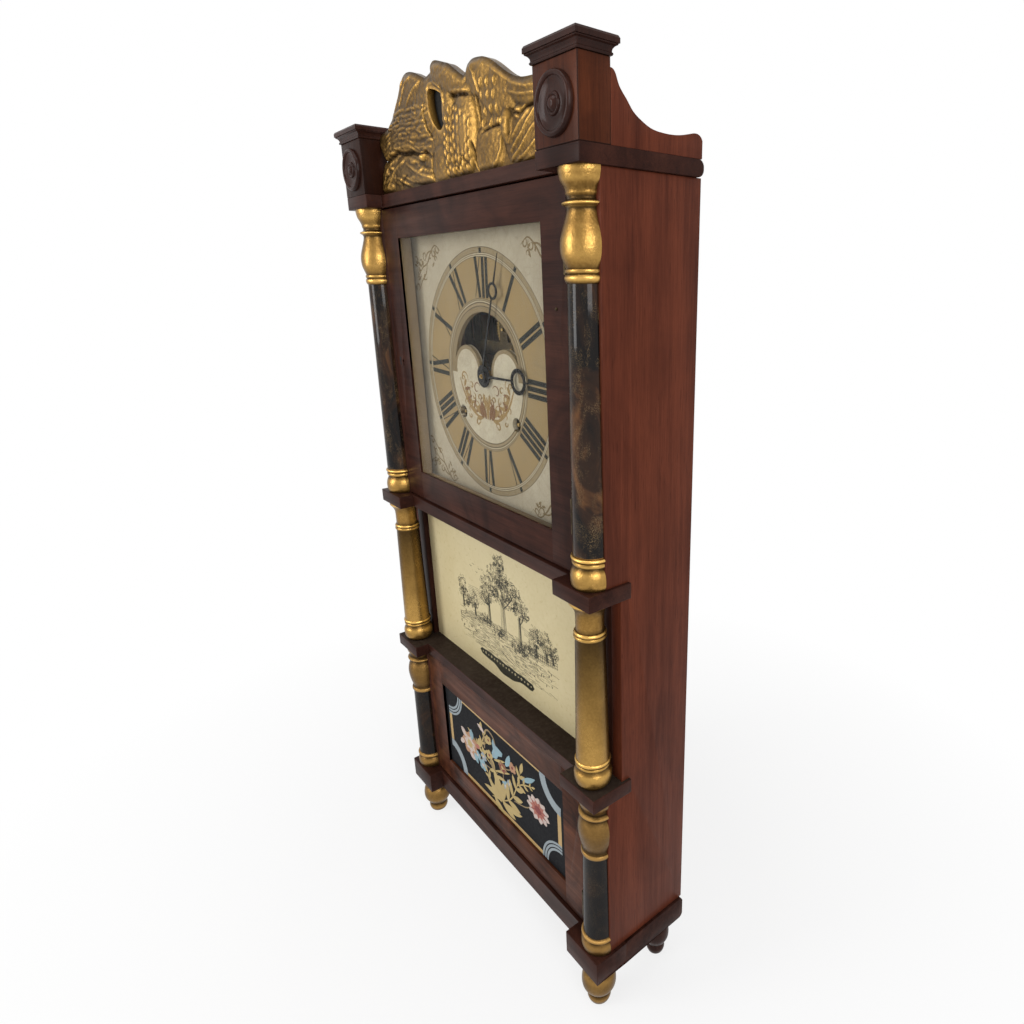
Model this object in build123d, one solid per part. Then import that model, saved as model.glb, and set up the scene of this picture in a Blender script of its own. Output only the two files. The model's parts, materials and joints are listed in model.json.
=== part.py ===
from build123d import *
import math
import os

os.makedirs("parts", exist_ok=True)

# A weight-driven shelf clock in three tiers. Millimetres, +Z up, the front faces -Y.
# The origin is at the bottom centre of the whole clock.

# Driving dimensions of the case
ledge_width = 445.0
body_depth = 131.0
cap_overhang = 5.0
foot_height = 58.0
base_height = 29.0
lower_tier_height = 199.0
ledge_height = 15.5
middle_tier_height = 202.0
upper_tier_height = 343.5
cornice_height = 13.5
pedestal_height = 56.5
cap_height = 12.5
splat_height = 105.0

# Thickness and setback of the case pieces
side_overhang = 3.0
side_board = 14.0
band_setback = 18.0
front_setback = 21.0
middle_front_setback = 39.4
tablet_setback = 46.0
dial_setback = 42.0
block_width = 55.4
block_return = 49.5
backboard_thickness = 7.0
bottom_board = 10.0
base_rail = 24.0
base_end_round = 6.0
stile_thickness = 12.0
tablet_thickness = 2.5
middle_strip_depth = tablet_setback - middle_front_setback
middle_strip_width = 16.5
front_stile_width = 27.7

# Doors
door_thickness = 18.0
door_side_gap = 0.8
upper_door_sill_gap = 2.0
upper_door_head_gap = 1.5
lower_door_sill_gap = 3.0
lower_door_head_gap = 1.5
door_stile_width = 36.5
upper_rail_bottom = 34.0
upper_rail_top = 32.0
lower_rail_bottom = 31.0
lower_rail_top = 36.0
glass_thickness = 2.0
upper_glass_setback = 2.5
lower_glass_setback = 3.5
glass_rebate = 5.0
glass_clearance = 0.4

# Hinges and lock
hinge_height = 34.0
hinge_leaf_width = 11.0
hinge_leaf_thickness = 0.9
knuckle_radius = 1.9
hinge_pin_radius = 0.9
pin_clearance = 0.08
knuckle_gap = 0.3
hinge_inset_share = 0.17
bolt_length = 26.0
bolt_width = 9.0
bolt_thickness = 3.0
bolt_throw = 6.0
bolt_setback = 7.0
bolt_clearance = 0.2
keyhole_radius = 2.0
keyhole_slot = 6.0
keyhole_inset = 17.0

# Turned columns
column_inset = 21.5
half_column_radius = 20.0
middle_column_radius = 19.4
middle_column_inset = 24.5
middle_column_setback = 19.6

# Feet
front_foot_radius = 19.5
rear_foot_radius = 16.0
front_foot_inset = 24.5
front_foot_setback = 21.7
rear_foot_setback = 20.3

# Crest
pedestal_width = 54.5
pedestal_depth = 30.0
rosette_radius = 22.0
rosette_projection = 5.0
rosette_height_share = 0.48
wing_thickness = 12.0
wing_height = 50.0
splat_setback = 20.0
splat_thickness = 9.0
splat_relief = 4.0
splat_cap_gap = 0.2
splat_backing = 2.0

# Dial and hands
dial_thickness = 5.0
dial_side_width = 56.0
dial_centre_drop = 6.0
dial_head_gap = 1.0
dial_opening_radius = 66.0
dial_lobe_radius = 28.0
dial_lobe_offset = 39.0
dial_lobe_rise = 2.0
winding_hole_radius = 7.5
winding_offset = 55.0
winding_drop = 45.0
winding_square_setback = 2.0
dial_hub_hole = 8.5
side_dial_board = 10.0
hand_thickness = 0.8
minute_hand_gap = 6.8
minute_ring_place_share = 92.5 / 130.2
minute_ring_radius = 8.5
minute_ring_width = 2.6
hour_hand_share = 95.0 / 130.2
hour_ring_place_share = 67.2 / 95.0
hour_ring_radius = 13.2
hour_ring_width = 4.0
hand_width = 3.2
hour_hub_radius = 12.0
minute_hub_radius = 7.5
hour_hand_setback = 38.2
minute_hand_setback = 36.0
minute_hand_angle = 20.4
hour_hand_angle = 89.4

# Room for the movement, from the back of the dial to the backboard. Its depths keep their share of it
movement_room = body_depth - backboard_thickness - dial_setback - dial_thickness
usual_room = 77.0
deepen = movement_room / usual_room

# Movement
front_plate_gap = 19.0 * deepen
plate_thickness = 2.0 * deepen
plate_spacing = 36.0 * deepen
strap_width = 15.0
plate_half_width = 84.0
plate_top_rise = 92.0
plate_foot_drop = 92.0
arbor_radius = 1.5
winding_arbor_radius = 2.5
arbor_clearance = 0.08
fit_clearance = 0.03
end_shake = 0.3
drum_radius = 16.0
drum_flange_radius = 19.0
drum_flange = 1.5 * deepen
ratchet_radius = 13.0
ratchet_thickness = 1.6 * deepen
wheel_thickness = 1.6 * deepen
great_thickness = 2.4 * deepen
pinion_length = 4.4 * deepen
great_module = 1.5
second_module = 1.6
centre_module = 1.2
third_module = 1.0
motion_module = 1.3
strike_module = 1.3
hub_radius = 4.0
escape_radius = 21.5
escape_tooth_depth = 4.0
verge_clearance = 1.2
pallet_length = 5.0
pallet_width = 2.0 * deepen
suspension_rise = 34.0
bob_rise = 56.0
pendulum_plane_gap = 12.0 * deepen
cock_gap = 1.0
pendulum_rod_radius = 1.1
bob_radius = 30.0
bob_thickness = 10.0 * deepen
crutch_length = 46.0
suspension_gap = 0.2
pillar_radius = 3.5

# Hammer and bell
bell_radius_share = 27.0 / 84.5
bell_wall = 2.0
bell_height_share = 40.0 / 84.5
bell_side_share = 69.5 / 127.0
bell_crown_gap = 3.0
hammer_head_radius = 5.0
hammer_head_length = 10.0 * deepen
hammer_gap = 1.2
pin_radius = 0.8
tail_gap = 0.6
lifting_pins = 8

# Weights, pulleys and cords
weight_width = 54.0
weight_depth = 46.0 * deepen
weight_height = 165.0
weight_foot_gap = 0.2
weight_hook_height = 14.0
partition_thickness = 6.0
channel_width = 72.5
slot_width = 12.0
slot_height = 46.0
seat_thickness = 12.0
seat_slot_half_width = 30.0
pulley_radius = 14.0
pulley_thickness = 6.0
pulley_drop = 30.0
cord_radius = 1.0
cord_gap = 0.4
cord_wrap = 200.0
cord_sides = 8
bracket_thickness = 1.6
overrun = 5.0

# Places along the depth
back_y = (body_depth + cap_overhang) / 2
block_front_y = back_y - body_depth
band_y = block_front_y + band_setback
front_y = block_front_y + front_setback
middle_front_y = block_front_y + middle_front_setback
tablet_y = block_front_y + tablet_setback
dial_y = block_front_y + dial_setback
block_back_y = block_front_y + block_return
backboard_y = back_y - backboard_thickness
plate_y = dial_y + dial_thickness + front_plate_gap
plate_back_y = plate_y + plate_thickness + plate_spacing

# Places along the width
half_width = ledge_width / 2
side_outer = half_width - side_overhang
side_inner = side_outer - side_board
block_inner = half_width - block_width
stile_inner = side_inner - front_stile_width
door_half = stile_inner - door_side_gap
dial_half = side_inner - dial_side_width
partition_place = side_inner - channel_width - partition_thickness

# Places along the height
base_top = foot_height + base_height
lower_ledge_z = base_top + lower_tier_height
lower_ledge_top = lower_ledge_z + ledge_height
upper_ledge_z = lower_ledge_top + middle_tier_height
upper_ledge_top = upper_ledge_z + ledge_height
cornice_z = upper_ledge_top + upper_tier_height
cornice_top = cornice_z + cornice_height
cap_z = cornice_top + pedestal_height
opening_half_height = (
    upper_tier_height - upper_door_sill_gap - upper_door_head_gap - upper_rail_bottom - upper_rail_top
) / 2
opening_z = upper_ledge_top + upper_door_sill_gap + upper_rail_bottom
dial_z = opening_z + opening_half_height - dial_centre_drop
winding_z = dial_z - winding_drop
seat_top = dial_z - plate_foot_drop

# Hands that reach the edge of the opening, and the bell between the plates and the cornice
minute_hand_length = opening_half_height - minute_hand_gap
minute_ring_place = minute_hand_length * minute_ring_place_share
hour_hand_length = minute_hand_length * hour_hand_share
hour_ring_place = hour_hand_length * hour_ring_place_share
pendulum_length = dial_z + suspension_rise - base_top - bob_rise
bell_room = cornice_z - dial_z - plate_top_rise
bell_radius = bell_room * bell_radius_share
bell_rise = plate_top_rise + bell_room * bell_height_share
bell_side = partition_place * bell_side_share


def block(x0, x1, y0, y1, z0, z1):
    """A box between two corners."""
    size = Box(x1 - x0, y1 - y0, z1 - z0)
    return Pos((x0 + x1) / 2, (y0 + y1) / 2, (z0 + z1) / 2) * size


def rod_y(x, z, y0, y1, radius):
    """A round bar along Y."""
    return Pos(x, (y0 + y1) / 2, z) * Rot(90, 0, 0) * Cylinder(radius, y1 - y0)


def rod_z(x, y, z0, z1, radius):
    """A round bar along Z."""
    return Pos(x, y, (z0 + z1) / 2) * Cylinder(radius, z1 - z0)


def front_plane(y):
    """A plane across the clock whose sketches read as (x, z) and extrude towards the front."""
    return Plane(origin=(0, y, 0), x_dir=(1, 0, 0), z_dir=(0, -1, 0))


def slab_xz(sketch, y0, y1):
    """An (x, z) outline made solid from y0 at the front to y1 at the back."""
    return extrude(front_plane(y1) * sketch, y1 - y0)


def slab_yz(sketch, x0, x1):
    """A (y, z) outline made solid from x0 to x1."""
    plane = Plane(origin=(x0, 0, 0), x_dir=(0, 1, 0), z_dir=(1, 0, 0))
    return extrude(plane * sketch, x1 - x0)


def polygon(points):
    """A closed face through points."""
    return make_face(Polyline(*points, close=True))


def turned(shares, radius, z0, height, x, y, half=False):
    """A turned post: pairs of height share and radius share, revolved about a vertical axis."""
    outline = [(0, z0)]
    outline += [(radius * r_share, z0 + height * z_share) for z_share, r_share in shares]
    outline += [(0, z0 + height)]
    face = Plane.XZ * polygon(outline)
    arc = 180 if half else 360
    post = revolve(face, Axis.Z, revolution_arc=arc)
    if half:
        post = Rot(0, 0, 180) * post
    return Pos(x, y, 0) * post


def mirrored(solid):
    """The same piece on the other side of the clock."""
    return mirror(solid, about=Plane.YZ)


def save(name, *solids):
    """Write one node, as a solid or as a group of separate solids."""
    parts = []
    for solid in solids:
        parts += list(solid.solids())
    shape = parts[0] if len(parts) == 1 else Compound(children=parts)
    shape.label = name
    export_step(shape, f"parts/{name}.step")


def ledge_board(z0, z1, y_end):
    """A board with a block at each front corner, seen from above."""
    outline = [
        (-half_width, block_front_y),
        (-block_inner, block_front_y),
        (-block_inner, band_y),
        (block_inner, band_y),
        (block_inner, block_front_y),
        (half_width, block_front_y),
        (half_width, y_end),
        (-half_width, y_end),
    ]
    return Pos(0, 0, z0) * extrude(polygon(outline), z1 - z0)


def make_case_side():
    """A side board, cut back behind the middle columns and notched for the ledges."""
    outline = [
        (back_y, base_top),
        (front_y, base_top),
        (front_y, lower_ledge_z),
        (block_back_y, lower_ledge_z),
        (block_back_y, lower_ledge_top),
        (middle_front_y, lower_ledge_top),
        (middle_front_y, upper_ledge_z),
        (block_back_y, upper_ledge_z),
        (block_back_y, upper_ledge_top),
        (front_y, upper_ledge_top),
        (front_y, cornice_z),
        (back_y, cornice_z),
    ]
    board = slab_yz(polygon(outline), side_inner, side_outer)
    rebate = block(
        side_inner - overrun, side_inner + side_board / 2, backboard_y, back_y + overrun,
        base_top - overrun, cornice_z + overrun,
    )
    return board - rebate


def make_backboard():
    """The thin board that closes the back, in the rebates of the sides."""
    reach = side_inner + side_board / 2
    return block(-reach, reach, backboard_y, back_y, base_top, cornice_z)


def make_base_frame():
    """The plinth: a front rail with corner blocks, two side rails and a back rail."""
    inner = half_width - base_rail
    outline = [
        (-half_width, block_front_y),
        (-block_inner, block_front_y),
        (-block_inner, band_y),
        (block_inner, band_y),
        (block_inner, block_front_y),
        (half_width, block_front_y),
        (half_width, band_y + base_rail),
        (-half_width, band_y + base_rail),
    ]
    front = Pos(0, 0, foot_height) * extrude(polygon(outline), base_height)
    side = block(inner, half_width, band_y + base_rail, back_y, foot_height, base_top)
    ends = side.edges().filter_by(Axis.X).group_by(Axis.Y)[-1]
    side = fillet(ends, base_end_round)
    back = block(-inner, inner, back_y - base_rail, back_y, foot_height, base_top)
    return [front, side, mirrored(side), back]


def make_cornice():
    """The top board with its blocks, and rounded ends at the back."""
    board = ledge_board(cornice_z, cornice_top, back_y)
    ends = board.edges().filter_by(Axis.X).group_by(Axis.Y)[-1]
    return fillet(ends, base_end_round)


def make_front_stiles():
    """The strips beside the doors, and the narrower ones beside the middle tablet."""
    y1 = front_y + stile_thickness
    upper = block(stile_inner, side_inner, front_y, y1, upper_ledge_top, cornice_z)
    lower = block(stile_inner, side_inner, front_y, y1, base_top, lower_ledge_z)
    bolt_room = bolt_space(-stile_inner - bolt_throw - bolt_clearance, -stile_inner + overrun)
    left_upper = mirrored(upper) - bolt_room
    left_lower = mirrored(lower)
    for z in hinge_heights(*upper_door_span()):
        upper = upper - hinge_leaf_box(stile_inner, stile_inner + hinge_leaf_thickness, z)
    for z in hinge_heights(*lower_door_span()):
        lower = lower - hinge_leaf_box(stile_inner, stile_inner + hinge_leaf_thickness, z)
    strip = block(
        side_inner - middle_strip_width, side_inner, middle_front_y, middle_front_y + middle_strip_depth,
        lower_ledge_top, upper_ledge_z,
    )
    return [upper, left_upper, lower, left_lower, strip, mirrored(strip)]


# Outlines of the turned pieces: height share from the foot, radius share of the largest radius
upper_column_shares = [
    (0.0, 0.93), (0.008, 0.99), (0.030, 1.0), (0.050, 0.90), (0.066, 0.80), (0.070, 0.92),
    (0.080, 0.96), (0.088, 0.90), (0.092, 0.96), (0.103, 0.96), (0.110, 0.86), (0.745, 0.76),
    (0.752, 0.82), (0.765, 0.82), (0.772, 0.77), (0.788, 0.80), (0.795, 0.76), (0.815, 0.92),
    (0.840, 0.99), (0.868, 0.97), (0.900, 0.84), (0.920, 0.76), (0.926, 0.90), (0.938, 0.90),
    (0.944, 0.74), (0.962, 0.74), (0.980, 0.86), (0.992, 1.0), (1.0, 1.0),
]
middle_column_shares = [
    (0.0, 0.96), (0.015, 1.0), (0.070, 1.0), (0.105, 0.90), (0.112, 0.96), (0.140, 0.96),
    (0.156, 0.87), (0.815, 0.745), (0.822, 0.80), (0.838, 0.81), (0.844, 0.76), (0.856, 0.80),
    (0.866, 0.72), (0.935, 0.70), (0.965, 0.80), (0.985, 0.98), (1.0, 1.0),
]
lower_column_shares = [
    (0.0, 0.94), (0.015, 1.0), (0.055, 1.0), (0.090, 0.88), (0.112, 0.80), (0.118, 0.94),
    (0.150, 0.96), (0.162, 0.86), (0.600, 0.79), (0.608, 0.86), (0.628, 0.86), (0.636, 0.80),
    (0.652, 0.88), (0.672, 0.84), (0.705, 0.96), (0.760, 1.0), (0.820, 0.96), (0.868, 0.84),
    (0.876, 0.94), (0.900, 0.96), (0.912, 0.84), (0.940, 0.84), (0.985, 0.96), (1.0, 0.96),
]
foot_shares = [
    (0.0, 0.42), (0.06, 0.58), (0.14, 0.64), (0.20, 0.60), (0.24, 0.57), (0.30, 0.74),
    (0.42, 0.95), (0.54, 1.0), (0.68, 0.94), (0.80, 0.76), (0.84, 0.70), (0.90, 0.74),
    (1.0, 0.74),
]
rosette_shares = [
    (0.0, 1.0), (0.62, 1.0), (0.98, 0.93), (0.98, 0.82), (0.46, 0.75), (0.52, 0.66),
    (0.80, 0.50), (0.92, 0.34), (0.78, 0.18), (1.0, 0.10),
]


def make_columns():
    """Half-round columns above and below, and full-round ones in the middle tier."""
    x = half_width - column_inset
    upper = turned(
        upper_column_shares, half_column_radius, upper_ledge_top, upper_tier_height,
        x, front_y, half=True,
    )
    lower = turned(
        lower_column_shares, half_column_radius, base_top, lower_tier_height,
        x, front_y, half=True,
    )
    middle = turned(
        middle_column_shares, middle_column_radius, lower_ledge_top, middle_tier_height,
        half_width - middle_column_inset, block_front_y + middle_column_setback,
    )
    return upper, middle, lower


def make_feet():
    """Turned feet under the corner blocks and under the back corners."""
    front = turned(
        foot_shares, front_foot_radius, 0, foot_height,
        half_width - front_foot_inset, block_front_y + front_foot_setback,
    )
    rear = turned(
        foot_shares, rear_foot_radius, 0, foot_height,
        half_width - front_foot_inset, back_y - rear_foot_setback,
    )
    return front, rear


def make_pedestal():
    """The square post at each end of the crest."""
    return block(
        half_width - pedestal_width, half_width, block_front_y, block_front_y + pedestal_depth,
        cornice_top, cap_z,
    )


def make_pedestal_cap():
    """The moulded cap: a band, a cove and a wide fillet."""
    rows = [(0.0, 0.10), (0.22, 0.10), (0.22, 0.28), (0.42, 0.40), (0.58, 0.66), (0.66, 0.96), (1.0, 1.0)]
    x_mid = half_width - pedestal_width / 2
    y_mid = block_front_y + pedestal_depth / 2
    cap = None
    for (z0_share, grow0_share), (z1_share, grow1_share) in zip(rows, rows[1:]):
        if z1_share == z0_share:
            continue
        faces = []
        for z_share, grow_share in ((z0_share, grow0_share), (z1_share, grow1_share)):
            grow = 2 * cap_overhang * grow_share
            face = Rectangle(pedestal_width + grow, pedestal_depth + grow)
            faces.append(Pos(x_mid, y_mid, cap_z + cap_height * z_share) * face)
        layer = loft(faces, ruled=True)
        cap = layer if cap is None else cap + layer
    return cap


def make_rosette():
    """The turned bullseye on a pedestal's face."""
    outline = [(0, 0)] + [
        (rosette_radius * r_share, rosette_projection * z_share) for z_share, r_share in rosette_shares
    ] + [(0, rosette_projection)]
    disc = revolve(Plane.XZ * polygon(outline), Axis.Z)
    z = cornice_top + pedestal_height * rosette_height_share
    return Pos(half_width - pedestal_width / 2, block_front_y, z) * Rot(90, 0, 0) * disc


# Top edge of a wing: shares of the depth behind the pedestal, and of the height at the pedestal
wing_edge_shares = [
    (0.0, 1.0), (0.03, 0.978), (0.075, 0.816), (0.16, 0.624), (0.20, 0.53), (0.30, 0.398),
    (0.404, 0.316), (0.51, 0.288), (0.618, 0.284), (0.729, 0.304), (0.843, 0.352), (0.90, 0.366),
    (0.948, 0.332), (0.973, 0.266),
]


def make_wing():
    """The curved board that runs back from a pedestal to the back corner."""
    y0 = block_front_y + pedestal_depth
    run = back_y - y0
    points = [(y0 + run * y, cornice_top + wing_height * z) for y, z in wing_edge_shares]
    end_y = points[-1][0]
    face = make_face(Wire([
        Line((y0, cornice_top), (end_y, cornice_top)),
        Line((end_y, cornice_top), points[-1]),
        Spline(*points[::-1]),
        Line(points[0], (y0, cornice_top)),
    ]))
    return slab_yz(face, half_width - wing_thickness, half_width)


# Outline of the carved crest: shares of its width from the middle, and of its height
splat_edge_shares = [
    [(-0.5, 0.0), (-0.5, 0.10), (-0.485, 0.22), (-0.463, 0.29), (-0.445, 0.31)],
    [(-0.445, 0.31), (-0.463, 0.37), (-0.480, 0.45), (-0.489, 0.53), (-0.452, 0.58), (-0.411, 0.60)],
    [(-0.411, 0.60), (-0.383, 0.66), (-0.346, 0.74), (-0.318, 0.82), (-0.296, 0.90), (-0.284, 0.97)],
    [(-0.284, 0.97), (-0.268, 0.995), (-0.240, 1.0), (-0.207, 0.98), (-0.170, 0.935), (-0.134, 0.885)],
    [(-0.134, 0.885), (-0.114, 0.90), (-0.095, 0.91)],
    [(-0.095, 0.91), (-0.098, 0.955), (-0.083, 0.985), (-0.059, 0.98), (-0.026, 0.947), (0.007, 0.914)],
    [(0.007, 0.914), (0.049, 0.842), (0.074, 0.795), (0.094, 0.762)],
    [(0.094, 0.762), (0.107, 0.69), (0.120, 0.64)],
    [(0.120, 0.64), (0.104, 0.74), (0.101, 0.786), (0.130, 0.853), (0.156, 0.857), (0.186, 0.845)],
    [(0.186, 0.845), (0.242, 0.775), (0.312, 0.645), (0.363, 0.590), (0.426, 0.575), (0.5, 0.60)],
]
splat_hole_shares = [
    (-0.109, 0.775), (-0.085, 0.762), (-0.057, 0.729), (-0.037, 0.676), (-0.040, 0.614),
    (-0.050, 0.540), (-0.060, 0.488), (-0.074, 0.446), (-0.092, 0.454), (-0.108, 0.495),
    (-0.116, 0.574), (-0.117, 0.657), (-0.112, 0.736),
]
# Narrow gap between the head and the right wing, closed behind
splat_gap_shares = [(0.090, 0.765), (0.107, 0.69), (0.121, 0.635), (0.106, 0.74), (0.104, 0.79)]
# Raised forms: middle x share, middle z share, half width share, half height share, turn in degrees
splat_raised_shares = [
    (0.085, 0.36, 0.060, 0.33, -4),
    (0.160, 0.21, 0.062, 0.185, 0),
    (-0.020, 0.80, 0.075, 0.085, -12),
    (-0.235, 0.62, 0.070, 0.30, -28),
    (-0.340, 0.36, 0.090, 0.13, 12),
    (-0.350, 0.15, 0.100, 0.10, -8),
    (-0.110, 0.20, 0.075, 0.16, 20),
    (0.195, 0.62, 0.100, 0.17, -32),
    (0.350, 0.33, 0.110, 0.16, 38),
]


def make_splat():
    """The carved crest between the pedestals, with a blind hollow beside the bird's neck."""
    width = ledge_width - 2 * pedestal_width
    edges = []
    for run in splat_edge_shares:
        points = [(width * x, cornice_top + splat_height * z) for x, z in run]
        edges.append(Spline(*points))
    end_x, end_share = width / 2, splat_edge_shares[-1][-1][1]
    edges.append(Line((end_x, cornice_top + splat_height * end_share), (end_x, cornice_top)))
    edges.append(Line((end_x, cornice_top), (-end_x, cornice_top)))
    y0 = block_front_y + splat_setback
    y1 = y0 + splat_thickness
    band = Pos(0, cornice_top + splat_height / 2) * Rectangle(width, 2 * splat_height)
    outline = make_face(Wire(edges)) & band
    board = slab_xz(outline, y0, y1)
    raised_zone = slab_xz(outline, y0 - splat_relief, y1)
    for x_share, z_share, w_share, h_share, turn in splat_raised_shares:
        oval = Ellipse(width * w_share, splat_height * h_share)
        place = Pos(width * x_share, cornice_top + splat_height * z_share) * Rot(0, 0, turn)
        board = board + (slab_xz(place * oval, y0 - splat_relief, y0 + splat_relief) & raised_zone)
    hole_points = [(width * x, cornice_top + splat_height * z) for x, z in splat_hole_shares]
    hole = make_face(Spline(*hole_points, periodic=True))
    board = board - slab_xz(hole, y0 - splat_relief - overrun, y1 - splat_backing)
    gap_points = [(width * x, cornice_top + splat_height * z) for x, z in splat_gap_shares]
    board = board + slab_xz(polygon(gap_points), y1 - splat_backing, y1)
    notch = block(
        width / 2 - cap_overhang - splat_cap_gap, width / 2 + overrun, y0 - 2 * overrun, y1 + overrun,
        cap_z - splat_cap_gap, cap_z + splat_height,
    )
    return board - notch - mirrored(notch)


def upper_door_span():
    """Lowest and highest edge of the upper door."""
    return upper_ledge_top + upper_door_sill_gap, cornice_z - upper_door_head_gap


def lower_door_span():
    """Lowest and highest edge of the lower door."""
    return base_top + lower_door_sill_gap, lower_ledge_z - lower_door_head_gap


def hinge_heights(z0, z1):
    """Middle heights of a door's two hinges."""
    inset = (z1 - z0) * hinge_inset_share
    return [z0 + inset, z1 - inset]


def lock_height():
    """Height of the lock, at the middle of the upper door."""
    z0, z1 = upper_door_span()
    return (z0 + z1) / 2


def hinge_leaf_box(x0, x1, z):
    """The space of a hinge leaf in the edge of a stile."""
    return block(
        x0, x1, front_y - overrun, front_y + hinge_leaf_width, z - hinge_height / 2, z + hinge_height / 2,
    )


def make_door(z0, z1, rail_bottom, rail_top, glass_setback):
    """Two stiles and two rails, rebated behind for the glass."""
    y1 = front_y + door_thickness
    glass_y = front_y + glass_setback
    inner = door_half - door_stile_width
    opening = block(
        -inner - glass_rebate, inner + glass_rebate, glass_y, y1 + overrun,
        z0 + rail_bottom - glass_rebate, z1 - rail_top + glass_rebate,
    )
    right = block(inner, door_half, front_y, y1, z0, z1) - opening
    left = mirrored(right)
    for z in hinge_heights(z0, z1):
        right = right - hinge_leaf_box(door_half - hinge_leaf_thickness, door_half, z)
    bottom = block(-inner, inner, front_y, y1, z0, z0 + rail_bottom) - opening
    top = block(-inner, inner, front_y, y1, z1 - rail_top, z1) - opening
    return [left, right, bottom, top]


def make_glass(z0, z1, rail_bottom, rail_top, glass_setback):
    """A pane in the rebate of a door."""
    reach = door_half - door_stile_width + glass_rebate - glass_clearance
    y0 = front_y + glass_setback
    return block(
        -reach, reach, y0, y0 + glass_thickness,
        z0 + rail_bottom - glass_rebate + glass_clearance,
        z1 - rail_top + glass_rebate - glass_clearance,
    )


def hinge_axis():
    """X and Y of the hinge pins, just in front of the doors' right edge."""
    return door_half + door_side_gap / 2, front_y - knuckle_radius - knuckle_gap


def make_hinge(z, for_door):
    """One half of a butt hinge: a leaf with its knuckles, and the pin on the case half."""
    x, y = hinge_axis()
    low = z - hinge_height / 2
    high = z + hinge_height / 2
    mid0 = low + hinge_height / 3
    mid1 = high - hinge_height / 3
    clear = knuckle_radius + knuckle_gap
    if for_door:
        x0 = door_half - hinge_leaf_thickness
        leaf = block(x0, x0 + hinge_leaf_thickness, y, front_y + hinge_leaf_width, low, high)
        leaf = leaf - rod_z(x, y, low - overrun, mid0, clear) - rod_z(x, y, mid1, high + overrun, clear)
        knuckle = rod_z(x, y, mid0 + knuckle_gap / 2, mid1 - knuckle_gap / 2, knuckle_radius)
        half = leaf + knuckle
        return half - rod_z(x, y, low - overrun, high + overrun, hinge_pin_radius + pin_clearance)
    x0 = stile_inner
    leaf = block(x0, x0 + hinge_leaf_thickness, y, front_y + hinge_leaf_width, low, high)
    half = leaf - rod_z(x, y, mid0, mid1, clear)
    for z0, z1 in ((low, mid0 - knuckle_gap / 2), (mid1 + knuckle_gap / 2, high)):
        half = half + rod_z(x, y, z0, z1, knuckle_radius)
    return half + rod_z(x, y, low, high, hinge_pin_radius)


def bolt_space(x0, x1):
    """The space in which the lock's bolt slides."""
    z = lock_height()
    y0 = front_y + bolt_setback
    half = bolt_width / 2 + bolt_clearance
    return block(x0, x1, y0 - bolt_clearance, y0 + bolt_thickness + bolt_clearance, z - half, z + half)


def make_lock_bolt():
    """The sliding bolt of the upper door, in its mortise in the left stile."""
    z = lock_height()
    y0 = front_y + bolt_setback
    half = bolt_width / 2
    return block(-door_half, -door_half + bolt_length, y0, y0 + bolt_thickness, z - half, z + half)


def cut_lock(stile):
    """The bolt's mortise and the keyhole, cut in the left stile of the upper door."""
    z = lock_height()
    y1 = front_y + bolt_setback
    mortise = bolt_space(-door_half - overrun, -door_half + bolt_length + bolt_clearance)
    x = -door_half + keyhole_inset
    hole = rod_y(x, z, front_y - overrun, y1, keyhole_radius)
    half = keyhole_radius / 2
    slot = block(x - half, x + half, front_y - overrun, y1, z - keyhole_slot, z)
    return stile - mortise - hole - slot


def make_dial():
    """The dial board: an open centre with two round lobes, winding holes and the arbor hole."""
    y0 = dial_y - overrun
    y1 = dial_y + dial_thickness + overrun
    board = block(
        -dial_half, dial_half, dial_y, dial_y + dial_thickness,
        upper_ledge_top, cornice_z - dial_head_gap,
    )
    above = Pos(0, dial_opening_radius) * Rectangle(2 * dial_opening_radius, 2 * dial_opening_radius)
    window = Circle(dial_opening_radius) & above
    for sign in (-1, 1):
        window = window - Pos(sign * dial_lobe_offset, dial_lobe_rise) * Circle(dial_lobe_radius)
    window = window.faces().sort_by(SortBy.AREA)[-1]
    cut = slab_xz(Pos(0, dial_z) * window, y0, y1)
    cut = cut + rod_y(0, dial_z, y0, y1, dial_hub_hole)
    for sign in (-1, 1):
        cut = cut + rod_y(sign * winding_offset, winding_z, y0, y1, winding_hole_radius)
    return board - cut


def make_dial_side():
    """The board that fills the space between the dial and a case side."""
    return block(
        dial_half, side_inner, dial_y, dial_y + side_dial_board, upper_ledge_top, cornice_z,
    )


def make_hand(length, ring_place, ring_radius, ring_width, hub, bore, y, angle):
    """A pierced hand: a hub, a tapered arm, an open ring and a pointed tip."""
    wide = hand_width / 2
    arm = polygon([
        (-wide, 0), (wide, 0), (wide * 0.6, ring_place - ring_radius + ring_width / 2),
        (-wide * 0.6, ring_place - ring_radius + ring_width / 2),
    ])
    tip_base = ring_place + ring_radius - ring_width / 2
    tip = polygon([(-wide * 0.7, tip_base), (wide * 0.7, tip_base), (0, length)])
    ring = Pos(0, ring_place) * (Circle(ring_radius) - Circle(ring_radius - ring_width))
    shape = arm + tip + ring + Circle(hub) - Circle(bore + fit_clearance)
    shape = Pos(0, dial_z) * Rot(0, 0, -angle) * shape
    return slab_xz(shape, y, y + hand_thickness)


# Wheel work. Tooth thickness as shares of half the pitch angle
wheel_root_share = 0.60
wheel_tip_share = 0.20
pinion_root_share = 0.50
pinion_tip_share = 0.18
wheel_addendum_share = 0.95
pinion_addendum_share = 0.75
dedendum_share = 1.25

great_teeth = 48
second_teeth = 33
centre_teeth = 45
third_teeth = 45
escape_teeth = 42
pin_teeth = 42
leaf_count = 6
cannon_teeth = 8
minute_teeth = 24
minute_leaves = 9
hour_teeth = 36


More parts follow.
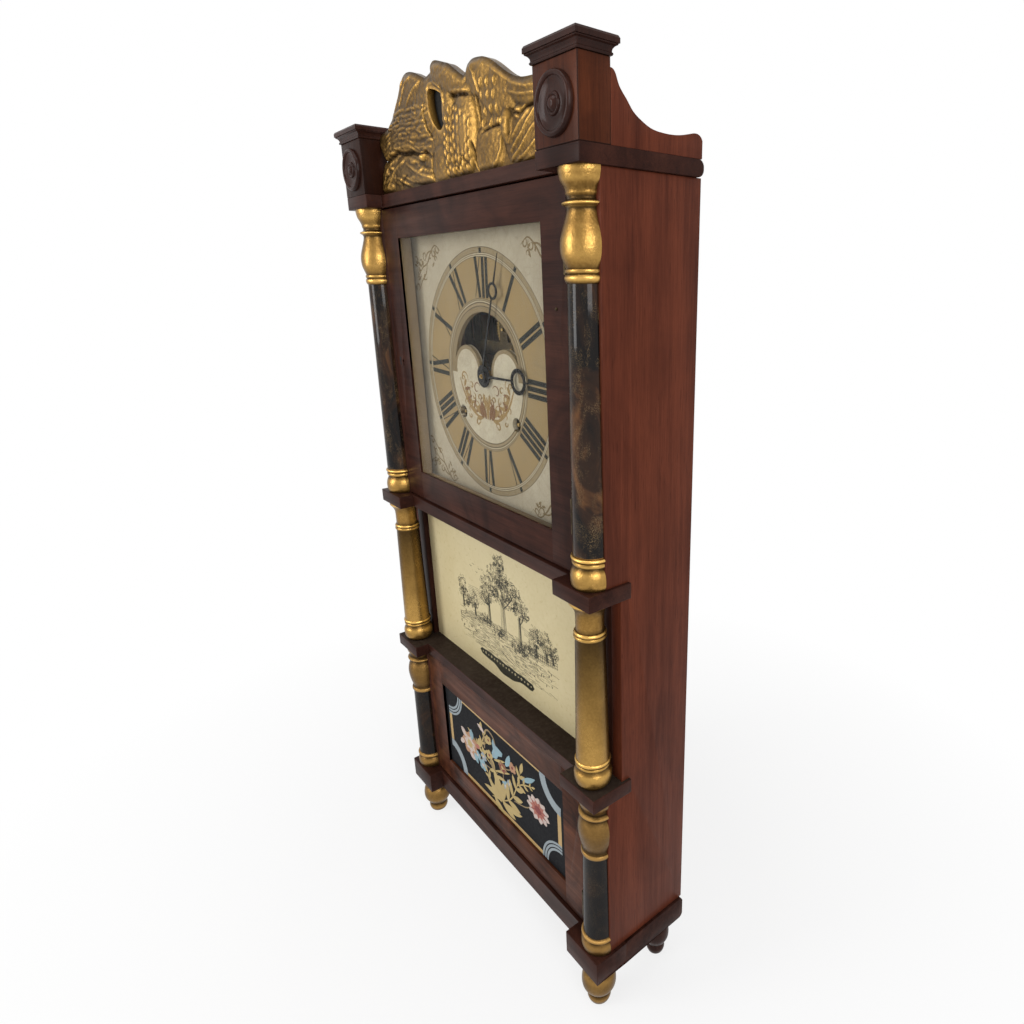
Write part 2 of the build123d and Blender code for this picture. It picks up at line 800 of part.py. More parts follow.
def toothed(teeth, module, phase, is_pinion):
    """The outline of a wheel or pinion, as a face centred on its arbor."""
    pitch = teeth * module / 2
    addendum = module * (pinion_addendum_share if is_pinion else wheel_addendum_share)
    tip = pitch + addendum
    root = pitch - module * dedendum_share
    half_pitch = math.pi / teeth
    root_share = pinion_root_share if is_pinion else wheel_root_share
    tip_share = pinion_tip_share if is_pinion else wheel_tip_share
    points = []
    for tooth in range(teeth):
        middle = phase + tooth * 2 * half_pitch
        for radius, share in ((root, -root_share), (tip, -tip_share), (tip, tip_share), (root, root_share)):
            angle = middle + share * half_pitch
            points.append((radius * math.cos(angle), radius * math.sin(angle)))
    return polygon(points)


def spokes(rim, hub):
    """Four windows between the rim and the hub of a wheel."""
    arm = hub * 0.55
    ring = Circle(rim) - Circle(hub)
    return ring - Rectangle(2 * rim, 2 * arm) - Rectangle(2 * arm, 2 * rim)


def meshed_phase(phase, teeth, direction, other_teeth):
    """Where a tooth of the second wheel points, when it meshes with the first along direction."""
    return direction + math.pi - (phase - direction) * teeth / other_teeth + math.pi / other_teeth


def direction_to(a, b):
    """Angle of the line from one arbor to another."""
    return math.atan2(b[1] - a[1], b[0] - a[0])


def arbor_between(a, reach_a, b, reach_b, sign):
    """The point at reach_a from a and reach_b from b, on one side of the line between them."""
    gap = math.dist(a, b)
    along = (reach_a ** 2 - reach_b ** 2 + gap ** 2) / (2 * gap)
    off = math.sqrt(reach_a ** 2 - along ** 2) * sign
    ux, uz = (b[0] - a[0]) / gap, (b[1] - a[1]) / gap
    return a[0] + along * ux - off * uz, a[1] + along * uz + off * ux


def reach(teeth, leaves, module):
    """Distance between the arbors of a wheel and a pinion."""
    return (teeth + leaves) * module / 2


centre_place = (0.0, dial_z)
time_great_place = (winding_offset, winding_z)
strike_great_place = (-winding_offset, winding_z)
great_reach = reach(great_teeth, leaf_count, great_module)
second_place = arbor_between(
    time_great_place, great_reach, centre_place, reach(second_teeth, leaf_count, second_module), -1,
)
third_lean = math.radians(60)
third_reach = reach(centre_teeth, leaf_count, centre_module)
third_place = (third_reach * math.cos(third_lean), dial_z + third_reach * math.sin(third_lean))
escape_reach = reach(third_teeth, leaf_count, third_module)
escape_place = (0.0, third_place[1] + math.sqrt(escape_reach ** 2 - third_place[0] ** 2))
pin_lean = math.radians(75)
pin_place = (
    -winding_offset + great_reach * math.cos(pin_lean), winding_z + great_reach * math.sin(pin_lean),
)
minute_lean = math.radians(-60)
minute_reach = reach(minute_teeth, cannon_teeth, motion_module)
hour_module = 2 * minute_reach / (hour_teeth + minute_leaves)
minute_place = (minute_reach * math.cos(minute_lean), dial_z + minute_reach * math.sin(minute_lean))
suspension_z = escape_place[1] + suspension_rise

# Planes of the wheels, as distances behind the front plate
escape_plane = 5.0 * deepen
centre_plane = 9.0 * deepen
third_plane = 15.0 * deepen
second_plane = 34.0 * deepen
great_plane = 30.0 * deepen
drum_front = 2.5 * deepen
drum_back = 23.5 * deepen
motion_gap = 3.0 * deepen


def disc(face, place, y, thickness):
    """A flat wheel at an arbor's place."""
    return slab_xz(Pos(*place) * face, y, y + thickness)


def make_arbor(place, y0, y1, radius):
    """A plain arbor."""
    return rod_y(place[0], place[1], y0, y1, radius)


def wheel_with_pinion(place, wheel, wheel_y, pinion, pinion_y, y0, y1, radius=arbor_radius):
    """An arbor that carries a wheel and a pinion."""
    piece = make_arbor(place, y0, y1, radius)
    piece = piece + disc(wheel, place, wheel_y, wheel_thickness)
    return piece + disc(pinion, place, pinion_y, pinion_length)


def make_time_train():
    """Great wheel, second wheel, centre wheel, third wheel and escape wheel, all in mesh."""
    y_front = plate_y + end_shake - plate_thickness
    y_back = plate_back_y + plate_thickness
    great_phase = 0.0
    second_pinion_phase = meshed_phase(
        great_phase, great_teeth, direction_to(time_great_place, second_place), leaf_count,
    )
    second_phase = 0.0
    centre_pinion_phase = meshed_phase(
        second_phase, second_teeth, direction_to(second_place, centre_place), leaf_count,
    )
    centre_phase = 0.0
    third_pinion_phase = meshed_phase(
        centre_phase, centre_teeth, direction_to(centre_place, third_place), leaf_count,
    )
    third_phase = 0.0
    escape_pinion_phase = meshed_phase(
        third_phase, third_teeth, direction_to(third_place, escape_place), leaf_count,
    )
    great_wheel = toothed(great_teeth, great_module, great_phase, False)
    great = disc(
        great_wheel - Circle(winding_arbor_radius + arbor_clearance),
        time_great_place, plate_y + great_plane, great_thickness,
    )
    second_wheel = toothed(second_teeth, second_module, second_phase, False)
    second_wheel = second_wheel - spokes((second_teeth / 2 - 3) * second_module, 2 * hub_radius)
    second = wheel_with_pinion(
        second_place, second_wheel,
        plate_y + second_plane, toothed(leaf_count, great_module, second_pinion_phase, True),
        plate_y + great_plane - wheel_thickness / 2, y_front, y_back,
    )
    centre_wheel = toothed(centre_teeth, centre_module, centre_phase, False)
    centre_wheel = centre_wheel - spokes((centre_teeth / 2 - 3) * centre_module, 1.6 * hub_radius)
    centre = wheel_with_pinion(
        centre_place, centre_wheel,
        plate_y + centre_plane, toothed(leaf_count, second_module, centre_pinion_phase, True),
        plate_y + second_plane - wheel_thickness / 2,
        minute_hand_y() - 2 * hand_thickness, y_back,
    )
    third_wheel = toothed(third_teeth, third_module, third_phase, False)
    third_wheel = third_wheel - spokes((third_teeth / 2 - 3) * third_module, 1.4 * hub_radius)
    third = wheel_with_pinion(
        third_place, third_wheel,
        plate_y + third_plane, toothed(leaf_count, centre_module, third_pinion_phase, True),
        plate_y + centre_plane - wheel_thickness, y_front, y_back,
    )
    points = []
    for tooth in range(escape_teeth):
        angle = tooth * 2 * math.pi / escape_teeth
        lean = 0.6 * math.pi / escape_teeth
        points.append((escape_radius * math.cos(angle), escape_radius * math.sin(angle)))
        inner = escape_radius - escape_tooth_depth
        points.append((inner * math.cos(angle + lean), inner * math.sin(angle + lean)))
    escape_wheel = polygon(points) - spokes(escape_radius - 2 * escape_tooth_depth, hub_radius * 1.3)
    escape = wheel_with_pinion(
        escape_place, escape_wheel, plate_y + escape_plane,
        toothed(leaf_count, third_module, escape_pinion_phase, True),
        plate_y + third_plane - wheel_thickness, y_front, y_back,
    )
    return great, second, centre, third, escape


def minute_hand_y():
    """Front face of the minute hand."""
    return block_front_y + minute_hand_setback


def hour_hand_y():
    """Front face of the hour hand."""
    return block_front_y + hour_hand_setback


def make_motion_work():
    """Cannon pinion on the centre arbor, minute wheel, and hour wheel with its pipe."""
    y = plate_y - motion_gap - wheel_thickness
    cannon_phase = 0.0
    to_minute = direction_to(centre_place, minute_place)
    minute_phase = meshed_phase(cannon_phase, cannon_teeth, to_minute, minute_teeth)
    leaves_phase = 0.0
    hour_phase = meshed_phase(leaves_phase, minute_leaves, to_minute + math.pi, hour_teeth)
    bore = winding_arbor_radius
    cannon = disc(
        toothed(cannon_teeth, motion_module, cannon_phase, True), centre_place,
        y - wheel_thickness / 2, 2 * wheel_thickness,
    )
    stud_bore = arbor_radius + arbor_clearance
    minute = disc(
        toothed(minute_teeth, motion_module, minute_phase, False) - Circle(stud_bore), minute_place,
        y, wheel_thickness,
    )
    hour_y = y - pinion_length
    leaves = disc(
        toothed(minute_leaves, hour_module, leaves_phase, True) - Circle(stud_bore), minute_place,
        hour_y - wheel_thickness / 2, pinion_length + wheel_thickness / 2,
    )
    hour = disc(
        toothed(hour_teeth, hour_module, hour_phase, False) - Circle(bore + arbor_clearance), centre_place,
        hour_y, wheel_thickness,
    )
    pipe = Circle(bore + 2 * arbor_radius) - Circle(bore + arbor_clearance)
    hour = hour + slab_xz(Pos(*centre_place) * pipe, hour_hand_y() - wheel_thickness / 2, hour_y)
    core = make_arbor(centre_place, minute_hand_y(), plate_y - end_shake, bore)
    return cannon + core, minute + leaves, hour


def make_drum(place, hand):
    """A cord drum on its winding arbor, with flanges, ratchet and winding square."""
    y_square = dial_y + winding_square_setback
    y_round = plate_y - overrun
    y0 = plate_y + drum_front + plate_thickness
    y1 = plate_y + drum_back + plate_thickness
    piece = make_arbor(place, y_round, plate_back_y + plate_thickness, winding_arbor_radius)
    side = winding_arbor_radius * math.sqrt(2)
    square = disc(Rectangle(side, side), place, y_square, y_round - y_square)
    piece = piece + square
    piece = piece + rod_y(place[0], place[1], y0, y1, drum_radius)
    piece = piece + rod_y(place[0], place[1], y0 - drum_flange, y0, drum_flange_radius)
    ratchet = []
    count = 12
    for tooth in range(count):
        angle = hand * tooth * 2 * math.pi / count
        ratchet.append((ratchet_radius * math.cos(angle), ratchet_radius * math.sin(angle)))
        low = ratchet_radius * 0.82
        ratchet.append((low * math.cos(angle), low * math.sin(angle)))
    return piece + disc(polygon(ratchet), place, y1, ratchet_thickness)


def make_strike_train():
    """The strike great wheel and the pin wheel that lifts the hammer."""
    phase = 0.0
    pinion_phase = meshed_phase(phase, great_teeth, direction_to(strike_great_place, pin_place), leaf_count)
    great = disc(
        toothed(great_teeth, great_module, phase, False) - Circle(winding_arbor_radius + arbor_clearance),
        strike_great_place, plate_y + great_plane, great_thickness,
    )
    wheel = toothed(pin_teeth, strike_module, 0.0, False)
    rim = pin_ring_radius()
    pin = wheel_with_pinion(
        pin_place, wheel - spokes(rim - 2 * strike_module, 2 * hub_radius), plate_y + second_plane,
        toothed(leaf_count, great_module, pinion_phase, True), plate_y + great_plane - wheel_thickness / 2,
        plate_y + end_shake - plate_thickness, plate_back_y + plate_thickness,
    )
    y = plate_y + second_plane
    for index in range(lifting_pins):
        angle = index * 2 * math.pi / lifting_pins
        x = pin_place[0] + rim * math.cos(angle)
        z = pin_place[1] + rim * math.sin(angle)
        pin = pin + rod_y(x, z, y - pin_length(), y, pin_radius)
    return great, pin


def pin_length():
    """Length of the lifting pins, in the gap between the pin wheel and the great wheel."""
    return second_plane - great_plane - great_thickness - end_shake


def pin_ring_radius():
    """Radius of the ring of lifting pins."""
    return pin_teeth * strike_module / 2 - 3 * strike_module


def strap_plate(y0, y1, holes):
    """One movement plate, riveted from brass straps, with its pivot holes."""
    z0, z1 = seat_top, dial_z + plate_top_rise
    half = strap_width / 2
    rows = [z0 + half, winding_z, (second_place[1] + pin_place[1]) / 2, third_place[1], z1 - half]
    plate = None
    for x in (-plate_half_width + half, -winding_offset, 0.0, winding_offset, plate_half_width - half):
        strap = block(x - half, x + half, y0, y1, z0, z1)
        plate = strap if plate is None else plate + strap
    for z in rows:
        plate = plate + block(-plate_half_width, plate_half_width, y0, y1, z - half, z + half)
    for place, radius in holes:
        plate = plate + rod_y(place[0], place[1], y0, y1, radius + 2 * arbor_radius)
    for place, radius in holes:
        plate = plate - rod_y(place[0], place[1], y0 - overrun, y1 + overrun, radius + arbor_clearance)
    return plate


def pillar_places():
    """The four corners where the plates are held apart."""
    x = plate_half_width - strap_width / 2
    return [
        (sign * x, z) for sign in (-1, 1)
        for z in (seat_top + strap_width / 2, dial_z + plate_top_rise - strap_width / 2)
    ]


def make_plates():
    """The front plate with its minute stud, and the back plate with pillars and suspension cock."""
    pivots = [
        (centre_place, arbor_radius), (second_place, arbor_radius), (third_place, arbor_radius),
        (escape_place, arbor_radius),
        (pin_place, arbor_radius), (verge_place(), arbor_radius), (hammer_place(), arbor_radius),
        (time_great_place, winding_arbor_radius), (strike_great_place, winding_arbor_radius),
    ]
    front = strap_plate(plate_y, plate_y + plate_thickness, pivots)
    stud_y = plate_y - motion_gap - 2 * wheel_thickness - pinion_length
    front = front + rod_y(minute_place[0], minute_place[1], stud_y, plate_y, arbor_radius)
    front = front + disc(Circle(2 * arbor_radius), minute_place, plate_y, plate_thickness)
    back = strap_plate(plate_back_y, plate_back_y + plate_thickness, pivots)
    for x, z in pillar_places():
        back = back + rod_y(x, z, plate_y + plate_thickness, plate_back_y, pillar_radius)
    cock_y = plate_back_y + plate_thickness
    cock = block(
        -hub_radius, hub_radius, cock_y, backboard_y - cock_gap,
        suspension_z + hub_radius, suspension_z + 2 * hub_radius,
    )
    return front, back + cock


def verge_place():
    """The verge arbor, on the same line as the pendulum's bending point."""
    return 0.0, suspension_z


def hammer_place():
    """The hammer arbor, high on the left of the movement."""
    return -winding_offset, dial_z + plate_top_rise - 2 * strap_width


def make_verge():
    """The anchor above the escape wheel, its arbor and the crutch behind the back plate."""
    place = verge_place()
    y0 = plate_y + escape_plane - (pallet_width - wheel_thickness) / 2
    reach_down = suspension_z - escape_place[1]
    tip = escape_radius + verge_clearance
    spread = math.radians(38)
    inner = (tip * math.sin(spread), -reach_down + tip * math.cos(spread))
    outer = (
        (tip + pallet_length) * math.sin(spread), -reach_down + (tip + pallet_length) * math.cos(spread),
    )
    wide = pallet_width * 0.7
    shape = Circle(hub_radius)
    for sign in (-1, 1):
        arm = polygon([
            (0, hub_radius * 0.7), (sign * outer[0], outer[1] + wide),
            (sign * inner[0], inner[1]), (sign * (inner[0] - 2 * wide), inner[1] + 2 * wide),
            (0, -hub_radius * 0.4),
        ])
        shape = shape + arm
    piece = disc(shape, place, y0, pallet_width)
    crutch_y = plate_back_y + plate_thickness + end_shake
    y_end = crutch_y + pendulum_plane_gap
    arbor_end = crutch_y + 2 * arbor_radius
    piece = piece + make_arbor(place, plate_y + end_shake - plate_thickness, arbor_end, arbor_radius)
    leg = block(
        -arbor_radius, arbor_radius, crutch_y, crutch_y + 2 * arbor_radius,
        suspension_z - crutch_length, suspension_z,
    )
    piece = piece + leg
    fork_x = pendulum_rod_radius + end_shake
    prong = block(
        fork_x, fork_x + arbor_radius, crutch_y, y_end,
        suspension_z - crutch_length, suspension_z - crutch_length + 2 * arbor_radius,
    )
    piece = piece + prong + mirrored(prong)
    bridge = block(
        -fork_x - arbor_radius, fork_x + arbor_radius, crutch_y, crutch_y + arbor_radius,
        suspension_z - crutch_length, suspension_z - crutch_length + 2 * arbor_radius,
    )
    return piece + bridge


def pendulum_y():
    """Plane in which the pendulum swings."""
    return plate_back_y + plate_thickness + end_shake + pendulum_plane_gap - 2 * arbor_radius


def make_pendulum():
    """The suspension spring and rod in one piece, and the disc bob with its nut."""
    y = pendulum_y()
    z_bob = suspension_z - pendulum_length
    spring = block(
        -2 * arbor_radius, 2 * arbor_radius, y - arbor_clearance * 2, y + arbor_clearance * 2,
        suspension_z - 3 * hub_radius, suspension_z + hub_radius - suspension_gap,
    )
    rod = rod_z(0, y, z_bob - bob_radius - 2 * overrun, suspension_z - 2 * hub_radius, pendulum_rod_radius)
    rod = rod + spring
    dome = [
        (0, 0), (0.55, 0), (1.0, 0.42), (1.0, 0.58), (0.55, 1.0), (0, 1.0),
    ]
    outline = [(bob_radius * r_share, bob_thickness * t_share) for r_share, t_share in dome]
    bob = revolve(Plane.XZ * polygon(outline), Axis.Z)
    bob = Pos(0, y + bob_thickness / 2, z_bob) * Rot(90, 0, 0) * bob
    bore = rod_z(0, y, z_bob - 2 * bob_radius, z_bob + 2 * bob_radius, pendulum_rod_radius + fit_clearance)
    nut = rod_z(0, y, z_bob - bob_radius - overrun, z_bob - bob_radius, 3 * pendulum_rod_radius)
    return rod, (bob + nut) - bore


def bell_place():
    """Middle of the bell, above the movement on the left."""
    return -bell_side, dial_z + bell_rise


# Outer skin of the bell: radius share and height share from the crown
bell_shares = [(0.0, 0.0), (0.34, 0.02), (0.62, 0.10), (0.82, 0.28), (0.92, 0.55), (1.0, 0.74)]


def make_bell():
    """A cast bell, open to the front, on a post from the backboard."""
    x, z = bell_place()
    skin = [(bell_radius * r_share, bell_radius * h_share) for r_share, h_share in bell_shares]
    inside = [(max(r - bell_wall, 0), h + bell_wall) for r, h in skin[:-1]]
    inside.append((skin[-1][0] - bell_wall, skin[-1][1]))
    cup = revolve(Plane.XZ * polygon(skin + inside[::-1]), Axis.Z)
    crown_y = backboard_y - bell_crown_gap
    cup = Pos(x, crown_y, z) * Rot(90, 0, 0) * cup
    return cup + rod_y(x, z, crown_y - bell_wall / 2, backboard_y, hub_radius)


def make_hammer():
    """The hammer: its arbor, the tail at the pin wheel, the wire and the head under the bell."""
    place = hammer_place()
    head_x, head_z = bell_place()
    head_z = head_z - bell_radius - hammer_gap - hammer_head_radius
    y0 = plate_back_y + plate_thickness + end_shake
    y1 = y0 + 2 * arbor_radius
    piece = make_arbor(place, plate_y + end_shake - plate_thickness, y1, arbor_radius)
    wire = polygon([
        (place[0] - arbor_radius, place[1]), (place[0] + arbor_radius, place[1]),
        (head_x + arbor_radius, head_z), (head_x - arbor_radius, head_z),
    ])
    piece = piece + slab_xz(wire, y0, y1)
    piece = piece + rod_y(head_x, head_z, y0, y0 + hammer_head_length, hammer_head_radius)
    towards = direction_to(place, pin_place)
    tail_length = math.dist(place, pin_place) - pin_ring_radius() - pin_radius - tail_gap
    tip = (place[0] + tail_length * math.cos(towards), place[1] + tail_length * math.sin(towards))
    tail = polygon([
        (place[0] - arbor_radius, place[1]), (place[0] + arbor_radius, place[1]),
        (tip[0] + pin_radius, tip[1]), (tip[0] - pin_radius, tip[1]),
    ])
    tail_y = plate_y + second_plane - pin_length()
    return piece + slab_xz(tail, tail_y, tail_y + pin_length() - end_shake)


def pulley_place(sign):
    """Middle of a pulley, so that its cord hangs over the middle of the weight."""
    x = weight_x() - pulley_radius - cord_radius - cord_gap
    return sign * x, cornice_z - pulley_drop


def weight_x():
    """Middle of a weight, in the channel between the partition and the case side."""
    return (partition_place + partition_thickness + side_inner) / 2


def weight_y():
    """Middle of the cords and weights along the depth."""
    return plate_y + plate_thickness + (drum_front + drum_back) / 2


def make_weight(sign):
    """A cast weight with an iron loop, standing just above the bottom board."""
    z0 = base_top + bottom_board + weight_foot_gap
    x = weight_x()
    y = weight_y()
    body = block(
        x - weight_width / 2, x + weight_width / 2, y - weight_depth / 2, y + weight_depth / 2,
        z0, z0 + weight_height,
    )
    loop = rod_z(x, y, z0 + weight_height, z0 + weight_height + weight_hook_height, 2 * arbor_radius)
    piece = body + loop
    return piece if sign > 0 else mirrored(piece)


def make_pulley(sign):
    """A grooved pulley with its axle hole."""
    x, z = pulley_place(sign)
    y = weight_y()
    half = pulley_thickness / 2
    outline = [
        (arbor_radius + arbor_clearance, -half), (pulley_radius + 2 * cord_radius, -half),
        (pulley_radius + 2 * cord_radius, -half * 0.8), (pulley_radius, -cord_radius * 0.7),
        (pulley_radius, cord_radius * 0.7), (pulley_radius + 2 * cord_radius, half * 0.8),
        (pulley_radius + 2 * cord_radius, half), (arbor_radius + arbor_clearance, half),
    ]
    wheel = revolve(Plane.XZ * polygon(outline), Axis.Z)
    return Pos(x, y, z) * Rot(90, 0, 0) * wheel


def make_pulley_bracket(sign):
    """Two iron cheeks under the cornice with the pulley's axle between them."""
    x, z = pulley_place(sign)
    y = weight_y()
    gap = pulley_thickness / 2 + end_shake
    half = 2.5 * arbor_radius
    piece = rod_y(x, z, y - gap, y + gap, arbor_radius)
    for side in (-1, 1):
        y0 = y + side * gap
        y1 = y + side * (gap + bracket_thickness)
        cheek = block(x - half, x + half, min(y0, y1), max(y0, y1), z - half, cornice_z)
        piece = piece + cheek
    return piece


def cord_route():
    """Where the cord leaves the drum and meets the pulley, and the direction of both points."""
    drum = time_great_place
    pulley = pulley_place(1)
    r_drum = drum_radius + cord_radius + cord_gap
    r_pulley = pulley_radius + cord_radius + cord_gap
    angle = direction_to(drum, pulley) + math.acos((r_drum - r_pulley) / math.dist(drum, pulley))
    return around(drum, r_drum, angle), around(pulley, r_pulley, angle), angle


def around(centre, radius, angle):
    """The point at an angle on a circle."""
    return centre[0] + radius * math.cos(angle), centre[1] + radius * math.sin(angle)


def make_cord():
    """The cord from the drum, up and over the pulley, to where it starts to hang."""
    start, end, angle = cord_route()
    drum = time_great_place
    pulley = pulley_place(1)
    r_drum = math.dist(drum, start)
    r_pulley = math.dist(pulley, end)
    wrap = math.radians(cord_wrap)
    y = weight_y()

    def spot(point):
        return point[0], y, point[1]

    on_drum = ThreePointArc(
        spot(around(drum, r_drum, angle + wrap)), spot(around(drum, r_drum, angle + wrap / 2)), spot(start),
    )
    over = ThreePointArc(
        spot(end), spot(around(pulley, r_pulley, angle / 2)), spot(around(pulley, r_pulley, 0)),
    )
    path = Wire([on_drum, Line(spot(start), spot(end)), over])
    section = Plane(origin=on_drum @ 0, z_dir=on_drum % 0) * RegularPolygon(cord_radius, cord_sides)
    return sweep(section, path=path)


def make_cord_drop():
    """The hanging length of cord from the pulley down to the weight."""
    z0 = base_top + bottom_board + weight_foot_gap + weight_height + weight_hook_height
    z1 = pulley_place(1)[1]
    section = RegularPolygon(cord_radius, cord_sides)
    return Pos(weight_x(), weight_y(), z0) * extrude(section, z1 - z0)


def make_partition():
    """The thin board between a weight's channel and the movement, slotted for the cord."""
    x0, x1 = partition_place, partition_place + partition_thickness
    board = block(x0, x1, dial_y + side_dial_board, backboard_y, base_top + bottom_board, cornice_z)
    start, end = cord_route()[:2]
    x_mid = (x0 + x1) / 2
    z = start[1] + (x_mid - start[0]) * (end[1] - start[1]) / (end[0] - start[0])
    y = weight_y()
    half = slot_width / 2
    return board - block(
        x0 - overrun, x1 + overrun, y - half, y + half, z - slot_height / 2, z + slot_height / 2,
    )


def make_seat_board():
    """The shelf that carries the movement, notched behind for the pendulum."""
    y0 = plate_y - 2 * motion_gap
    board = block(-partition_place, partition_place, y0, backboard_y, seat_top - seat_thickness, seat_top)
    notch = block(
        -seat_slot_half_width, seat_slot_half_width, plate_back_y + plate_thickness, backboard_y + overrun,
        seat_top - seat_thickness - overrun, seat_top + overrun,
    )
    return board - notch


def main():
    """Build every node and write it."""
    side = make_case_side()
    save("case_sides", side, mirrored(side))
    save("backboard", make_backboard())
    save("case_bottom", block(
        -side_inner, side_inner, front_y + door_thickness + door_side_gap, backboard_y,
        base_top, base_top + bottom_board,
    ))
    save("base_frame", *make_base_frame())
    save("ledge_lower", ledge_board(lower_ledge_z, lower_ledge_top, block_back_y))
    save("ledge_upper", ledge_board(upper_ledge_z, upper_ledge_top, block_back_y))
    save("cornice", make_cornice())
    save("front_stiles", *make_front_stiles())
    save("middle_tablet", block(
        -side_inner, side_inner, tablet_y, tablet_y + tablet_thickness, lower_ledge_top, upper_ledge_z,
    ))
    upper, middle, lower = make_columns()
    save("upper_columns", upper, mirrored(upper))
    save("middle_columns", middle, mirrored(middle))
    save("lower_columns", lower, mirrored(lower))
    front, rear = make_feet()
    save("front_feet", front, mirrored(front))
    save("rear_feet", rear, mirrored(rear))
    pedestal = make_pedestal()
    save("pedestals", pedestal, mirrored(pedestal))
    cap = make_pedestal_cap()
    save("pedestal_caps", cap, mirrored(cap))
    rosette = make_rosette()
    save("rosettes", rosette, mirrored(rosette))
    save("eagle_splat", make_splat())
    wing = make_wing()
    save("side_wings", wing, mirrored(wing))

    upper_span = upper_door_span()
    lower_span = lower_door_span()
    left, right, bottom, top = make_door(*upper_span, upper_rail_bottom, upper_rail_top, upper_glass_setback)
    save("upper_door_frame", cut_lock(left), right, bottom, top)
    save("upper_door_glass", make_glass(*upper_span, upper_rail_bottom, upper_rail_top, upper_glass_setback))
    save("lower_door_frame", *make_door(*lower_span, lower_rail_bottom, lower_rail_top, lower_glass_setback))
    save("lower_door_tablet", make_glass(*lower_span, lower_rail_bottom, lower_rail_top, lower_glass_setback))
    save("upper_door_hinge_leaves", *[make_hinge(z, True) for z in hinge_heights(*upper_span)])
    save("lower_door_hinge_leaves", *[make_hinge(z, True) for z in hinge_heights(*lower_span)])
    heights = hinge_heights(*upper_span) + hinge_heights(*lower_span)
    save("case_hinge_leaves", *[make_hinge(z, False) for z in heights])
    save("lock_bolt", make_lock_bolt())

    save("dial_board", make_dial())
    dial_side = make_dial_side()
    save("dial_side_boards", dial_side, mirrored(dial_side))
    save("minute_hand", make_hand(
        minute_hand_length, minute_ring_place, minute_ring_radius, minute_ring_width, minute_hub_radius,
        winding_arbor_radius, minute_hand_y(), minute_hand_angle,
    ))
    save("hour_hand", make_hand(
        hour_hand_length, hour_ring_place, hour_ring_radius, hour_ring_width, hour_hub_radius,
        winding_arbor_radius + 2 * arbor_radius, hour_hand_y(), hour_hand_angle,
    ))

    front_plate, back_plate = make_plates()
    save("front_plate", front_plate)
    save("back_plate", back_plate)
    save("seat_board", make_seat_board())
    partition = make_partition()
    save("weight_partitions", partition, mirrored(partition))
    great, second, centre, third, escape = make_time_train()
    cannon, minute, hour = make_motion_work()
    save("time_great_wheel", great)
    save("time_second_wheel", second)
    save("centre_wheel", centre + cannon)
    save("third_wheel", third)
    save("escape_wheel", escape)
    save("minute_wheel", minute)
    save("hour_wheel", hour)
    save("verge", make_verge())
    rod, bob = make_pendulum()
    save("pendulum_rod", rod)
    save("pendulum_bob", bob)
    save("time_drum", make_drum(time_great_place, 1))
    save("strike_drum", make_drum(strike_great_place, -1))
    strike_great, pin_wheel = make_strike_train()
    save("strike_great_wheel", strike_great)
    save("strike_pin_wheel", pin_wheel)
    save("hammer", make_hammer())
    save("bell", make_bell())
    save("time_weight", make_weight(1))
    save("strike_weight", make_weight(-1))
    save("time_pulley", make_pulley(1))
    save("strike_pulley", make_pulley(-1))
    save("pulley_brackets", make_pulley_bracket(1), make_pulley_bracket(-1))
    cord = make_cord()
    save("weight_cords", cord, mirrored(cord))
    drop = make_cord_drop()
    save("time_cord_drop", drop)
    save("strike_cord_drop", mirrored(drop))


main()
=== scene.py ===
import json
import math
import random

import bmesh
import bpy
import numpy as np
from mathutils import Matrix, Vector, geometry, noise


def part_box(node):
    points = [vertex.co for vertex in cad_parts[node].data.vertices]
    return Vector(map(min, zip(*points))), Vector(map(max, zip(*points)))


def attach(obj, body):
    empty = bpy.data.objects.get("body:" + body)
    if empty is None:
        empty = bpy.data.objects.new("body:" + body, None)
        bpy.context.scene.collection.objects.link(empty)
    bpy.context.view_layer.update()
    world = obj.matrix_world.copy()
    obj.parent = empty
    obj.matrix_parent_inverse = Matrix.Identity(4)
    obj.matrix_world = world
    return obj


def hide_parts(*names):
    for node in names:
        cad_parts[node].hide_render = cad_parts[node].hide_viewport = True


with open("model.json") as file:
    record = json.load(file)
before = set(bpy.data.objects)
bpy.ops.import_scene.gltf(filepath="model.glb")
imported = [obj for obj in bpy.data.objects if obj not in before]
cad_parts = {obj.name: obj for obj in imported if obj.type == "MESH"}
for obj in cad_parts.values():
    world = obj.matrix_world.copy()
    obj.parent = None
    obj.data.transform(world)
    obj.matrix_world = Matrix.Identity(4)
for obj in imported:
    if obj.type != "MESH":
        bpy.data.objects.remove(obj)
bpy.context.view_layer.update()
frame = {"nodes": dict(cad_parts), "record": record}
nodes = frame["nodes"]
mm = 0.001

# The photograph's camera
camera_place = Vector((643.5, -391.8, 780.3)) * mm
camera_yaw = math.radians(49.08)
camera_pitch = math.radians(17.99)
camera_roll = math.radians(-0.35)
photo_pixels = 1024
focal_pixels = 677.4
principal_pixels = (619.8, 502.2)
sensor_width = 36.0


def box_of(node):
    """Lowest and highest corner of a CAD node, and the middle."""
    low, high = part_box(node)
    return low, high, (low + high) / 2


body_of_node = {
    node: body for body, members in frame["record"]["behaviour"]["bodies"].items() for node in members
}
dial_front = box_of("dial_board")[0].y
dial_middle = box_of("hour_wheel")[2]
# The rings were painted a little off the hands' arbor, in millimetres
paint_x, paint_z = dial_middle.x / mm - 1.5, dial_middle.z / mm - 1.0


